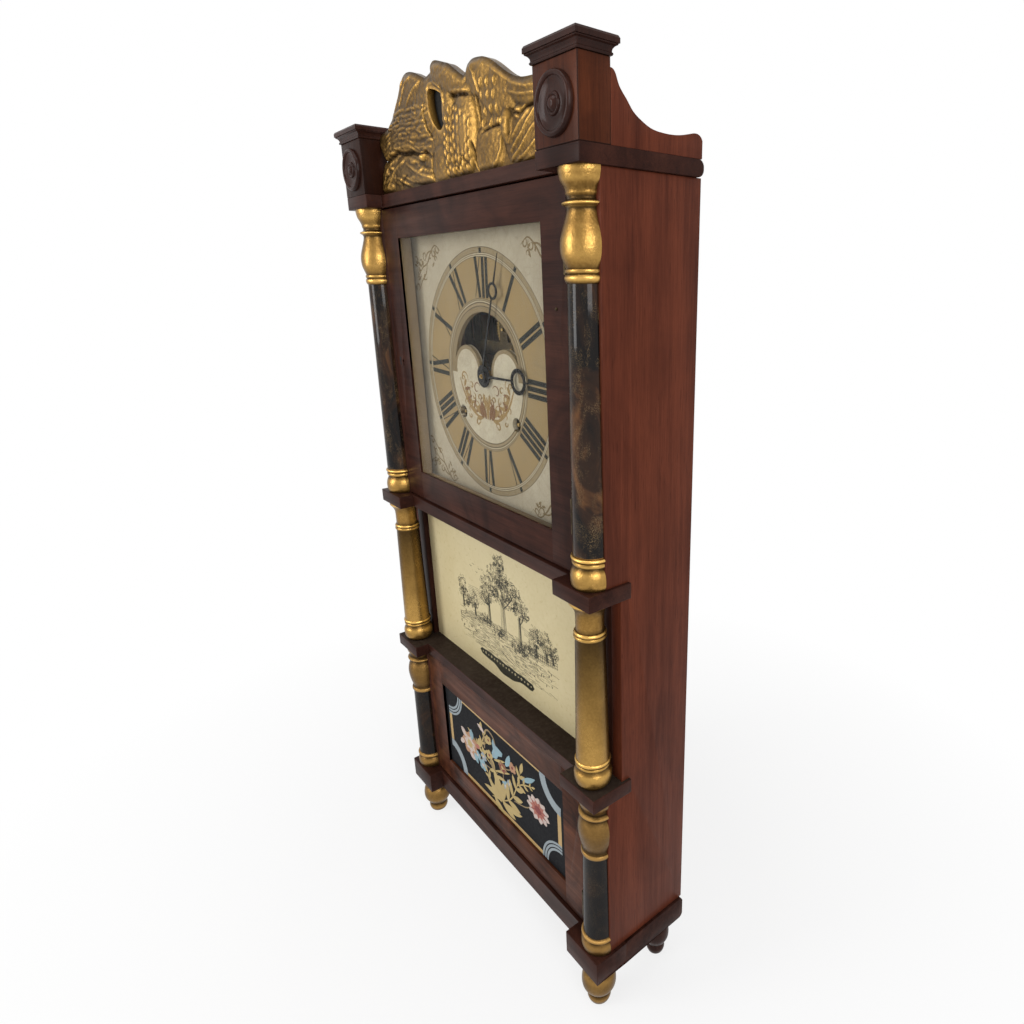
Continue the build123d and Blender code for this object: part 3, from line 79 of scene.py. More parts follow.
class Nodes:
    """A node tree, built step by step."""

    def __init__(self, tree):
        self.tree = tree

    def feed(self, socket, value):
        """Link or set an input."""
        if isinstance(value, bpy.types.NodeSocket):
            self.tree.links.new(value, socket)
        elif value is not None:
            socket.default_value = value

    def node(self, kind, inputs=(), **settings):
        """A new node. Its inputs are linked or set by name or number."""
        node = self.tree.nodes.new("ShaderNode" + kind)
        for name, value in settings.items():
            setattr(node, name, value)
        for place, value in dict(inputs).items():
            self.feed(node.inputs[place], value)
        return node

    def calc(self, how, a, b=None):
        return self.node("Math", {0: a, 1: b}, operation=how).outputs[0]

    def blend(self, share, a, b):
        """Two surfaces, mixed by a share."""
        return self.node("MixShader", {"Fac": share, 1: a, 2: b}).outputs[0]

    def rays(self, *kinds):
        """1 for rays of these kinds, and 0 for others."""
        path = self.node("LightPath").outputs
        share = path[f"Is {kinds[0]} Ray"]
        for kind in kinds[1:]:
            share = self.calc("MAXIMUM", share, path[f"Is {kind} Ray"])
        return share

    def show(self, surface, output="Material Output"):
        """Send a mixed surface to the output."""
        self.feed(self.tree.nodes[output].inputs["Surface"], surface)


class Shader(Nodes):
    """A material round one surface. Scales are for metres."""

    def __init__(self, name, **constants):
        self.material = bpy.data.materials.new(name)
        self.material.use_nodes = True
        super().__init__(self.material.node_tree)
        self.surface = self.tree.nodes["Principled BSDF"]
        for socket, value in constants.items():
            self.surface.inputs[socket.replace("_", " ")].default_value = value
        self.coordinates = self.node("TexCoord").outputs["Object"]

    def put(self, socket, value):
        """Link or set an input of the surface."""
        self.feed(self.surface.inputs[socket], value)

    def stretched(self, scale, place=(0, 0, 0)):
        """The object's coordinates, scaled along each axis."""
        scale = scale if isinstance(scale, tuple) else (scale,) * 3
        inputs = {"Vector": self.coordinates, "Scale": scale, "Location": place}
        return self.node("Mapping", inputs).outputs[0]

    def noise(self, scale, detail=4.0, roughness=0.55, distortion=0.0, place=(0, 0, 0)):
        return self.node("TexNoise", {
            "Vector": self.stretched(scale, place), "Scale": 1.0, "Detail": detail, "Roughness": roughness,
            "Distortion": distortion,
        }).outputs["Fac"]

    def cracks(self, scale, width, depth):
        """A net of fine cracks."""
        cells = self.node(
            "TexVoronoi", {"Vector": self.stretched(scale), "Scale": 1.0}, feature="DISTANCE_TO_EDGE",
        )
        return self.ramp(cells.outputs["Distance"], (0.0, depth), (width, 0.0))

    def distance(self, point):
        """Distance from a point of the object."""
        node = self.node("VectorMath", {0: self.coordinates, 1: point}, operation="DISTANCE")
        return node.outputs["Value"]

    def ramp(self, value, *stops, steps=False):
        """Colours or greys along a value from 0 to 1."""
        node = self.node("ValToRGB", {"Fac": value})
        node.color_ramp.interpolation = "CONSTANT" if steps else "LINEAR"
        while len(node.color_ramp.elements) < len(stops):
            node.color_ramp.elements.new(0.5)
        for element, (place, colour) in zip(node.color_ramp.elements, stops):
            element.position = place
            element.color = (*colour, 1.0) if isinstance(colour, tuple) else (colour, colour, colour, 1.0)
        return node.outputs["Color"]

    def mix(self, share, a, b):
        """Two colours, mixed by a share."""
        node = self.node("Mix", {"Factor": share}, data_type="RGBA")
        for socket, value in zip([entry for entry in node.inputs if entry.type == "RGBA"], (a, b)):
            self.feed(socket, (*value, 1.0) if isinstance(value, tuple) else value)
        return [output for output in node.outputs if output.type == "RGBA"][0]

    def stain(self, colour, value, low, high, most, tone):
        """A tone laid over a colour, from none at a low value to most at a high one."""
        return self.mix(self.ramp(value, (low, 0.0), (high, most)), colour, tone)

    def total(self, *parts):
        """The sum of values, each times its weight."""
        products = [self.calc("MULTIPLY", value, weight) for value, weight in parts]
        while len(products) > 1:
            products[:2] = [self.calc("ADD", *products[:2])]
        return products[0]

    def between(self, value, low, high):
        """1 where a value lies between two others."""
        above, below = self.calc("GREATER_THAN", value, low), self.calc("LESS_THAN", value, high)
        return self.calc("MULTIPLY", above, below)

    def split(self):
        return self.node("SeparateXYZ", {0: self.coordinates}).outputs

    def attribute(self, name):
        return self.node("Attribute", attribute_name=name).outputs["Fac"]

    def rough(self, value, first, last):
        """Roughness, from first to last as a value goes from 0.3 to 0.7."""
        self.put("Roughness", self.ramp(value, (0.3, first), (0.7, last)))

    def bump(self, height, distance, strength):
        """A fine relief, of a depth in metres."""
        node = self.node("Bump", {"Height": height, "Distance": distance, "Strength": strength})
        self.put("Normal", node.outputs["Normal"])


def along(axis, with_grain, across):
    """Texture scales with one value along the grain and another across it."""
    return tuple(with_grain if name == axis else across for name in "xyz")


def times(colour, factor):
    return tuple(min(1.0, part * factor) for part in colour)


def halfway(a, b):
    return tuple((part + other) / 2 for part, other in zip(a, b))


def mahogany(name, axis, dark, light, figure=0.5, gloss=0.34, polish=0.04):
    """Polished, aged mahogany with grain along one axis."""
    shader = Shader(name, Specular_IOR_Level=0.05, Coat_Weight=polish, Coat_Roughness=0.14)
    broad = shader.noise(along(axis, 2.2, 17.0), 3.0, 0.5, 1.2)
    streak = shader.noise(along(axis, 7.0, 150.0), 6.0, 0.62, 0.5)
    fibre = shader.noise(along(axis, 30.0, 900.0), 3.0, 0.6)
    pore = shader.noise(along(axis, 55.0, 1500.0), 2.0, 0.5)
    crotch = shader.noise(9.0, 3.0, 0.55, 2.4)
    tone = shader.total((broad, 0.42), (streak, 0.36), (fibre, 0.22))
    colour = shader.ramp(tone, (0.34, dark), (0.50, halfway(dark, light)), (0.66, light))
    colour = shader.stain(colour, crotch, 0.40, 0.70, figure, times(dark, 0.45))
    pores = shader.ramp(pore, (0.62, 0.0), (0.72, 0.55))
    shader.put("Base Color", shader.mix(pores, colour, times(dark, 0.35)))
    shader.rough(streak, gloss + 0.12, gloss)
    shader.bump(shader.calc("SUBTRACT", fibre, pores), 0.00006, 0.6)
    return shader.material


def gilding(name, dark, light, shine, rough):
    """Bronze-gilt paint, with a painted highlight on the high places, painted shade in the low ones and
    painted shade on edges seen side-on.
    """
    shader = Shader(name, Metallic=shine, Specular_IOR_Level=0.1)
    tone = shader.total((shader.noise(22.0, 4.0, 0.6), 0.7), (shader.noise(420.0, 3.0, 0.6), 0.3))
    colour = shader.ramp(tone, (0.30, dark), (0.52, halfway(dark, light)), (0.72, light))
    # Painted shade darkens the hollows, and a painted highlight brightens the high places
    colour = shader.mix(shader.attribute("cavity"), colour, (0.022, 0.013, 0.006))
    colour = shader.mix(shader.attribute("ridge"), colour, times(light, 2.1))
    # Painted shade on edges seen side-on, in place of a darker reflection there
    facing = shader.node("LayerWeight", {"Blend": 0.5}).outputs["Facing"]
    shader.put("Base Color", shader.stain(colour, facing, 0.25, 0.95, 0.62, (0.040, 0.022, 0.006)))
    shader.rough(tone, rough + 0.16, rough)
    shader.bump(shader.noise(560.0, 3.0, 0.6), 0.00045, 0.6)
    return shader.material


def stencilled(name, most, warmth=1.0):
    """A black shaft with rubbed bronze powder and a tortoiseshell mottle, varnished."""
    shader = Shader(name, Specular_IOR_Level=0.02, Coat_Weight=0.38, Coat_Roughness=0.06)
    mottle = shader.noise((26.0, 26.0, 14.0), 4.0, 0.6, 1.0)
    cloud = shader.noise((70.0, 70.0, 34.0), 5.0, 0.65, 0.6, (3.0, 1.0, 2.0))
    powder = shader.noise(1500.0, 1.0, 0.5)
    brown, amber = times((0.026, 0.011, 0.005), warmth), times((0.13, 0.054, 0.018), warmth)
    ground = shader.ramp(mottle, (0.45, (0.0040, 0.0026, 0.0022)), (0.60, brown), (0.76, amber))
    dusted = shader.ramp(cloud, (0.47, 0.0), (0.73, most))
    share = shader.calc("MULTIPLY", dusted, shader.ramp(powder, (0.52, 0.0), (0.62, 1.0)))
    shader.put("Base Color", shader.mix(share, ground, (0.34, 0.22, 0.10)))
    shader.put("Metallic", shader.calc("MULTIPLY", share, 0.5))
    shader.rough(cloud, 0.22, 0.42)
    shader.bump(powder, 0.00004, 0.4)
    return shader.material


def painted(name, base, stain, roughness=0.5, crackle=0.25, metallic=0.0, grime=0.5, sheen=0.14):
    """Old paint with stains, fine crackle and brush marks."""
    shader = Shader(name, Metallic=metallic, Specular_IOR_Level=sheen)
    fine = shader.noise(260.0, 4.0, 0.6)
    crack = shader.cracks(95.0, 0.035, crackle)
    colour = shader.stain(base, shader.noise(14.0, 5.0, 0.62, 0.8), 0.42, 0.75, grime, stain)
    colour = shader.stain(colour, fine, 0.45, 0.75, 0.35, stain)
    shader.put("Base Color", shader.mix(crack, colour, times(stain, 0.45)))
    shader.rough(fine, roughness + 0.1, roughness - 0.06)
    shader.bump(shader.calc("SUBTRACT", fine, crack), 0.00005, 0.5)
    return shader.material


def pine(name, axis, light=(0.37, 0.205, 0.088), dark=(0.18, 0.085, 0.035)):
    """Bare softwood, darkened with age."""
    shader = Shader(name)
    fibre = shader.noise(along(axis, 20.0, 700.0), 4.0, 0.6)
    colour = shader.ramp(shader.noise(along(axis, 1.5, 60.0), 3.0, 0.5, 0.8), (0.35, dark), (0.62, light))
    colour = shader.stain(colour, fibre, 0.4, 0.8, 0.5, dark)
    dirt = shader.noise(8.0, 4.0, 0.6)
    shader.put("Base Color", shader.stain(colour, dirt, 0.45, 0.8, 0.6, (0.06, 0.035, 0.02)))
    shader.rough(fibre, 0.78, 0.62)
    shader.bump(fibre, 0.00015, 0.6)
    return shader.material


def metal(name, dark, light, roughness, bumps=0.00008, scale=90.0):
    """Aged metal with tarnish and fine scratches."""
    shader = Shader(name, Metallic=1.0)
    cloud = shader.noise(scale, 5.0, 0.62, 0.4)
    scratch = shader.noise((scale * 12, scale * 4, scale * 30), 2.0, 0.5)
    colour = shader.ramp(cloud, (0.32, dark), (0.62, light))
    shader.put("Base Color", shader.stain(colour, scratch, 0.55, 0.75, 0.3, dark))
    shader.rough(cloud, roughness + 0.16, roughness)
    shader.bump(scratch, bumps, 0.5)
    return shader.material


def twisted_cord(name):
    """Waxed cord with the lay of its strands."""
    shader = Shader(name, Roughness=0.8)
    x, _, z = shader.split()
    slant = shader.calc("ADD", z, shader.calc("MULTIPLY", x, 0.7))
    turn = shader.calc("SINE", shader.calc("MULTIPLY", slant, 2600.0))
    fuzz = shader.noise(900.0, 3.0, 0.6)
    lay = shader.calc("ADD", shader.calc("MULTIPLY", turn, 0.3), fuzz)
    shader.put("Base Color", shader.ramp(lay, (0.2, (0.10, 0.07, 0.035)), (0.9, (0.36, 0.27, 0.15))))
    shader.bump(turn, 0.0002, 0.8)
    return shader.material


def window_glass(name):
    """Old clear glass that lets light through, with a faint film of dust."""
    shader = Shader(name, Roughness=0.02, IOR=1.08, Transmission_Weight=1.0)
    shader.bump(shader.noise((7.0, 7.0, 5.0), 2.0, 0.5), 0.0004, 0.08)
    film = shader.ramp(shader.noise(30.0, 5.0, 0.65), (0.35, 0.0), (0.75, 0.02))
    dust = shader.node("BsdfDiffuse", {"Color": (0.55, 0.54, 0.50, 1.0)}).outputs[0]
    clear = shader.node("BsdfTransparent", {"Color": (0.93, 0.94, 0.92, 1.0)}).outputs[0]
    dusty = shader.blend(film, shader.surface.outputs[0], dust)
    shader.show(shader.blend(shader.rays("Shadow", "Diffuse"), dusty, clear))
    return shader.material


def dial_face(name):
    """The dial's painted rings, on aged white. Radii in millimetres."""
    shader = Shader(name, Specular_IOR_Level=0.14)
    reach = 160.0
    lobe_offset, lobe_rise = 39.0, 2.0
    wobble = shader.calc("MULTIPLY", shader.calc("SUBTRACT", shader.noise(30.0, 1.0), 0.5), 0.0012)
    radius = shader.calc("ADD", shader.distance((paint_x * mm, dial_front, paint_z * mm)), wobble)
    ground, tan, line = (0.54, 0.465, 0.345), (0.26, 0.185, 0.095), (0.10, 0.065, 0.03)
    pale, gold, white = (0.55, 0.465, 0.32), (0.37, 0.255, 0.115), (0.62, 0.540, 0.400)
    band = (0.34, 0.26, 0.15)
    rings = (
        (0.0, white), (71.8, line), (72.6, band), (75.6, line), (76.3, pale), (77.6, line), (78.3, band),
        (79.4, line), (80.2, gold), (120.6, line), (121.2, pale), (122.4, line), (122.9, pale),
        (124.0, line), (124.6, band), (129.6, line), (130.6, ground),
    )
    colour = shader.ramp(
        shader.calc("DIVIDE", radius, reach * mm), *[(r / reach, tone) for r, tone in rings], steps=True,
    )
    lobe = shader.calc("MINIMUM", *[
        shader.distance((dial_middle.x + sign * lobe_offset * mm, dial_front, dial_middle.z + lobe_rise * mm))
        for sign in (-1, 1)
    ])
    above = shader.calc("GREATER_THAN", shader.split()[2], dial_middle.z - 1 * mm)
    rim = shader.between(lobe, 23.8 * mm, 28.2 * mm)
    arc = shader.between(radius, 64 * mm, 71.8 * mm)
    arc = shader.calc("MULTIPLY", arc, shader.calc("GREATER_THAN", lobe, 23.8 * mm))
    rim = shader.calc("MULTIPLY", shader.calc("MAXIMUM", rim, arc), above)
    colour = shader.mix(rim, colour, tan)
    cloud = shader.noise(14.0, 5.0, 0.62, 0.8)
    colour = shader.stain(colour, cloud, 0.42, 0.78, 0.40, (0.27, 0.205, 0.12))
    smear = shader.noise((45.0, 45.0, 8.0), 4.0, 0.6, 0.6)
    colour = shader.stain(colour, smear, 0.45, 0.80, 0.28, (0.40, 0.335, 0.235))
    fine = shader.noise(260.0, 4.0, 0.6)
    colour = shader.stain(colour, fine, 0.45, 0.75, 0.22, (0.24, 0.185, 0.11))
    crack = shader.cracks(85.0, 0.03, 0.20)
    shader.put("Base Color", shader.mix(crack, colour, (0.16, 0.12, 0.07)))
    shader.rough(fine, 0.58, 0.42)
    shader.bump(shader.calc("SUBTRACT", fine, crack), 0.00005, 0.5)
    return shader.material


front_dark, front_light = (0.016, 0.0055, 0.0042), (0.062, 0.0210, 0.0130)
woods = {
    # grain, dark, light, figure, gloss, polish
    "side": ("z", (0.050, 0.0125, 0.0070), (0.152, 0.039, 0.019), 0.2, 0.38),
    "upright": ("z", front_dark, front_light, 0.5),
    "across": ("x", front_dark, front_light, 0.6),
    "figured": ("x", (0.018, 0.0058, 0.0040), (0.128, 0.042, 0.019), 0.9),
    "pedestal": ("z", (0.026, 0.0068, 0.0032), (0.112, 0.029, 0.0105), 0.5),
    # A darker copy of the pedestal wood for the left pedestal, as painted shade
    "shaded": ("z", (0.010, 0.0034, 0.002), (0.040, 0.0125, 0.0065), 0.5),
    "turned": ("z", (0.014, 0.0055, 0.0042), (0.060, 0.022, 0.015), 0.5, 0.25, 0.12),
}
golds = {
    # dark, light, metallic, roughness
    "gilt_turned": ((0.135, 0.068, 0.015), (0.500, 0.290, 0.080), 0.85, 0.22),
    # Gilt darkened as painted shade, for the lower columns and the front feet
    "gilt_dulled": ((0.075, 0.037, 0.010), (0.265, 0.152, 0.046), 0.8, 0.28),
    "gilt_carved": ((0.100, 0.052, 0.012), (0.315, 0.178, 0.044), 0.80, 0.30),
}
paints = {
    # base, stain, roughness, crackle, metallic, grime, sheen
    "dial_side_paint": ((0.30, 0.24, 0.16), (0.20, 0.15, 0.09), 0.5, 0.1),
    # A very dark top for the lower ledge between its columns
    "dusty_shelf": ((0.022, 0.014, 0.010), (0.058, 0.045, 0.034), 0.6, 0.0, 0.0, 0.5, 0.05),
    "bare_rebate": ((0.34, 0.25, 0.15), (0.17, 0.11, 0.06), 0.6, 0.0),
    "dial_gold_line": ((0.30, 0.205, 0.075), (0.17, 0.11, 0.04), 0.45, 0.0, 0.2),
    "dial_black": ((0.016, 0.017, 0.014), (0.05, 0.048, 0.036), 0.4, 0.1),
    "scroll_gold": ((0.36, 0.235, 0.095), (0.24, 0.15, 0.06), 0.45, 0.0, 0.2),
    "scroll_faded": ((0.255, 0.180, 0.090), (0.21, 0.155, 0.085), 0.5, 0.0),
    "scroll_rose": ((0.235, 0.125, 0.065), (0.16, 0.085, 0.045), 0.5, 0.0),
    "tablet_cream": ((0.575, 0.490, 0.290), (0.46, 0.37, 0.185), 0.32, 0.05, 0.0, 0.35),
    "engraving_ink": ((0.018, 0.017, 0.012), (0.06, 0.055, 0.035), 0.4, 0.0),
    "tablet_black": ((0.0125, 0.0125, 0.014), (0.022, 0.023, 0.024), 0.5, 0.0, 0.0, 0.5, 0.02),
    "border_gold": ((0.50, 0.34, 0.145), (0.33, 0.21, 0.08), 0.4, 0.1, 0.15),
    "border_blue": ((0.27, 0.31, 0.33), (0.17, 0.20, 0.215), 0.4, 0.1),
    "petal_peach": ((0.40, 0.215, 0.12), (0.26, 0.125, 0.07), 0.4, 0.0),
    "petal_blue": ((0.23, 0.355, 0.40), (0.13, 0.20, 0.23), 0.4, 0.0),
    "petal_rose": ((0.36, 0.125, 0.09), (0.22, 0.065, 0.045), 0.4, 0.0),
    "petal_pale": ((0.52, 0.43, 0.385), (0.36, 0.27, 0.23), 0.4, 0.0),
    "petal_dark": ((0.20, 0.035, 0.03), (0.09, 0.015, 0.015), 0.4, 0.0),
    "leaf_gold": ((0.44, 0.33, 0.135), (0.26, 0.175, 0.06), 0.4, 0.0),
    "blackened_steel": ((0.010, 0.010, 0.010), (0.030, 0.026, 0.022), 0.32, 0.0, 0.4),
    "black_backing": ((0.008, 0.009, 0.010), (0.02, 0.02, 0.02), 0.6, 0.0),
}
metals = {
    # dark, light, roughness, scratch depth, cloud scale
    "aged_brass": ((0.20, 0.12, 0.035), (0.62, 0.43, 0.16), 0.30),
    # Brass darkened as painted shade for the movement inside the case; the hinges and the door pin take it
    # too
    "dull_brass": ((0.020, 0.015, 0.008), (0.085, 0.06, 0.028), 0.42),
    "bell_metal": ((0.16, 0.10, 0.04), (0.42, 0.30, 0.13), 0.34, 0.0002, 40.0),
    "worn_steel": ((0.05, 0.048, 0.045), (0.26, 0.25, 0.24), 0.34),
    "cast_iron": ((0.018, 0.014, 0.012), (0.06, 0.045, 0.036), 0.62, 0.0008, 160.0),
}
materials = {
    "stencilled_shaft": stencilled("stencilled_shaft", 0.65),
    "blackened_shaft": stencilled("blackened_shaft", 0.15, 0.35),
    "dial_face": dial_face("dial_face"),
    "pine_upright": pine("pine_upright", "z"),
    "pine_across": pine("pine_across", "x"),
    "waxed_cord": twisted_cord("waxed_cord"),
    "door_glass": window_glass("door_glass"),
}
for key, look in woods.items():
    materials[key] = mahogany("mahogany_" + key, *look)
for make, looks in ((gilding, golds), (painted, paints), (metal, metals)):
    materials |= {name: make(name, *look) for name, look in looks.items()}

# CAD nodes that keep their own shape
for material, members in {
    "door_glass": "upper_door_glass",
    "tablet_black": "lower_door_tablet",
    "tablet_cream": "middle_tablet",
    "dial_face": "dial_board",
    "dial_side_paint": "dial_side_boards",
    "blackened_steel": "minute_hand hour_hand",
    "pine_upright": "backboard weight_partitions",
    "pine_across": "case_bottom seat_board",
    # The movement's plates take brass darkened as painted shade
    "dull_brass": "upper_door_hinge_leaves lower_door_hinge_leaves case_hinge_leaves front_plate back_plate",
    "aged_brass": "time_great_wheel time_second_wheel centre_wheel third_wheel escape_wheel minute_wheel "
                  "hour_wheel pendulum_bob time_drum strike_drum strike_great_wheel strike_pin_wheel "
                  "time_pulley strike_pulley",
    "worn_steel": "lock_bolt verge pendulum_rod hammer",
    "bell_metal": "bell",
    "cast_iron": "time_weight strike_weight pulley_brackets",
    "waxed_cord": "weight_cords time_cord_drop strike_cord_drop",
}.items():
    for node in members.split():
        nodes[node].data.materials.clear()
        nodes[node].data.materials.append(materials[material])


def faced_out(work):
    """The bmesh, with its faces turned outwards."""
    bmesh.ops.recalc_face_normals(work, faces=work.faces)
    return work


def put_mesh(name, work, node, names, sharp=None, replaces=False):
    """A bmesh as an object on a CAD node's body, smooth up to a sharp angle, in the node's place if asked."""
    mesh = bpy.data.meshes.new(name)
    work.to_mesh(mesh)
    work.free()
    for material in names:
        mesh.materials.append(materials[material])
    thing = bpy.data.objects.new(name, mesh)
    bpy.context.scene.collection.objects.link(thing)
    if sharp is not None:
        for face in mesh.polygons:
            face.use_smooth = True
        mesh.set_sharp_from_angle(angle=math.radians(sharp))
    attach(thing, body_of_node[node])
    if replaces:
        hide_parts(node)


def clean_copy(node):
    """The node's solids as a bmesh with whole flat faces."""
    work = bmesh.new()
    work.from_mesh(nodes[node].data)
    bmesh.ops.remove_doubles(work, verts=work.verts, dist=1e-6)
    bmesh.ops.dissolve_limit(
        work, angle_limit=math.radians(1.0), verts=work.verts, edges=work.edges,
    )
    return work


def islands(work):
    """The faces of each separate solid of a bmesh, with its lowest and highest corner."""
    left = dict.fromkeys(work.faces)
    while left:
        group = [next(iter(left))]
        del left[group[0]]
        for face in group:
            for edge in face.edges:
                for other in edge.link_faces:
                    if other in left:
                        del left[other]
                        group.append(other)
        points = np.array([vert.co for face in group for vert in face.verts])
        yield group, Vector(points.min(axis=0)), Vector(points.max(axis=0))


def eased_boards(node, choose):
    """Boards with slightly worn edges in place of a CAD node. choose names a board's material."""
    worn_edge, corner_angle = 0.7 * mm, math.radians(40)
    work = clean_copy(node)
    names = []
    for group, low, high in islands(work):
        name = choose(high - low, (low + high) / 2)
        if name not in names:
            names.append(name)
        for face in group:
            face.material_index = names.index(name)
    corners = [
        edge for edge in work.edges if len(edge.link_faces) == 2 and edge.calc_face_angle() > corner_angle
    ]
    bmesh.ops.bevel(
        work, geom=corners, offset=worn_edge, segments=2, profile=0.6, affect="EDGES", clamp_overlap=True,
    )
    put_mesh(node + "_worn", work, node, names, 35, True)


def repaint(name, material, test):
    """Another material on the faces of an object that pass a test."""
    mesh = bpy.data.objects[name].data
    mesh.materials.append(materials[material])
    for face in mesh.polygons:
        if test(face.center, face.normal):
            face.material_index = len(mesh.materials) - 1


def dress_case():
    """The case's boards, with grain along their longer side."""
    def plain(size, middle):
        return "across" if size.x > size.z else "upright"

    eased_boards("case_sides", lambda size, middle: "side")
    for node in ("ledge_lower", "ledge_upper", "cornice", "base_frame", "front_stiles"):
        eased_boards(node, plain)
    eased_boards("lower_door_frame", lambda size, middle: "figured" if size.x > size.z else "upright")
    eased_boards("upper_door_frame", plain)
    # The left pedestal takes the darker wood, as painted shade
    eased_boards("pedestals", lambda size, middle: "pedestal" if middle.x > 0 else "shaded")
    eased_boards("side_wings", lambda size, middle: "side")

    # The rebate's walls behind the dial glass are bare wood
    low, high, _ = box_of("upper_door_glass")
    slack = 1.0 * mm
    repaint("upper_door_frame_worn", "bare_rebate", lambda place, normal: (
        abs(place.x) < high.x + slack and low.z - slack < place.z < high.z + slack
        and place.y > high.y and abs(normal.y) < 0.5
    ))
    # The top of the lower ledge is painted very dark between its columns
    reach = box_of("lower_door_frame")[1].x
    repaint("ledge_lower_worn", "dusty_shelf", lambda place, normal: normal.z > 0.9 and abs(place.x) < reach)


dress_case()


def smooth_line(points, steps=6):
    """A curve through the points."""
    line = []
    for index in range(len(points) - 1):
        a = points[max(index - 1, 0)]
        b, c = points[index], points[index + 1]
        d = points[min(index + 2, len(points) - 1)]
        for step in range(steps):
            t = step / steps
            line.append(tuple(
                0.5 * (2 * b[i] + (c[i] - a[i]) * t + (2 * a[i] - 5 * b[i] + 4 * c[i] - d[i]) * t * t
                       + (3 * b[i] - a[i] - 3 * c[i] + d[i]) * t ** 3)
                for i in range(len(b))
            ))
    return [*line, tuple(points[-1])]


def turned_profile(start, *runs, steps=6):
    """(height, radius) points. Each run is smooth and starts, in a corner, where the last one ended."""
    profile = [start]
    for run in runs:
        points = [profile[-1], *run]
        profile += (smooth_line(points, steps) if len(run) > 1 else points)[1:]
    return profile


def bead(z0, z1, r0, r1, swell):
    """A half-round ring between two heights, after its first point."""
    quarter = (z1 - z0) / 4
    return [(z0 + quarter * 0.5, r0 + swell * 0.7), ((z0 + z1) / 2, max(r0, r1) + swell),
            (z1 - quarter * 0.5, r1 + swell * 0.7), (z1, r1)]


def hollowness(profile):
    """How far each point of a profile lies inside, or outside, the mean radius around it."""
    window = 5.0 * mm
    depths = []
    for height, radius in profile:
        total = weights = 0.0
        for (z0, r0), (z1, r1) in zip(profile, profile[1:]):
            low, high = max(z0, height - window), min(z1, height + window)
            if high > low:
                weights += high - low
                total += (high - low) * (r0 + r1) / 2
        depths.append(total / weights - radius if weights else 0.0)
    return depths


def skin(work, rings):
    """Bands of faces between rings of vertices, with both ends closed."""
    bands = [
        [work.faces.new(corners) for corners in zip(ring, ring[1:] + ring[:1], above[1:] + above[:1], above)]
        for ring, above in zip(rings, rings[1:])
    ]
    bands[0].append(work.faces.new(rings[0][::-1]))
    bands[-1].append(work.faces.new(rings[-1]))
    return bands


def add_turning(work, profile, place=(0.0, 0.0), half=False, sides=56, shaft=(0.0, 0.0)):
    """Revolve a profile about an upright axis, or its front half. The shaft has the second material."""
    deepest = 1.3 * mm
    most_shade, most_highlight = 0.85, 0.6
    layers = work.verts.layers.float
    cavity, ridge = [layers.get(name) or layers.new(name) for name in ("cavity", "ridge")]
    profile = [(height * mm, radius * mm) for height, radius in profile]
    angles = [math.pi * (1 + 2 * i / sides) for i in range(sides // 2 + 1)] if half else [
        2 * math.pi * i / sides for i in range(sides)
    ]
    rings = []
    for (height, radius), depth in zip(profile, hollowness(profile)):
        rings.append([
            work.verts.new((place[0] + radius * math.cos(angle), place[1] + radius * math.sin(angle), height))
            for angle in angles
        ])
        # Painted shade in the profile's hollows and painted highlight on its swellings
        for vert in rings[-1]:
            vert[cavity] = min(most_shade, max(0.0, depth / deepest))
            vert[ridge] = min(most_highlight, max(0.0, -depth / deepest))
    for (low, _), (high, _), band in zip(profile, profile[1:], skin(work, rings)):
        if shaft[0] * mm < (low + high) / 2 < shaft[1] * mm:
            for face in band:
                face.material_index = 1


def turned_pair(node, base, profile, place, names, shaft=None):
    """A left and a right turning in place of a CAD node, half round if they have a shaft. Millimetres."""
    work = bmesh.new()
    profile = [(base + z, r) for z, r in profile]
    for sign in (-1, 1):
        where = (sign * place[0] * mm, place[1] * mm)
        if shaft:
            add_turning(work, profile, where, True, 64, [base + height for height in shaft])
        else:
            add_turning(work, profile, where)
    put_mesh(node + "_turned", faced_out(work), node, names, 38, True)


def middle_y(node):
    """Middle of a node along the depth, in millimetres."""
    return box_of(node)[2].y / mm


column_x, column_y = 201.0, -42.0
middle_column_x = foot_x = 198.0
rear_foot_share = 16.0 / 19.5


def tier(below, above):
    """Height of a tier's floor, and its rise up to the board above, in millimetres."""
    base = box_of(below)[1].z / mm
    return base, box_of(above)[0].z / mm - base


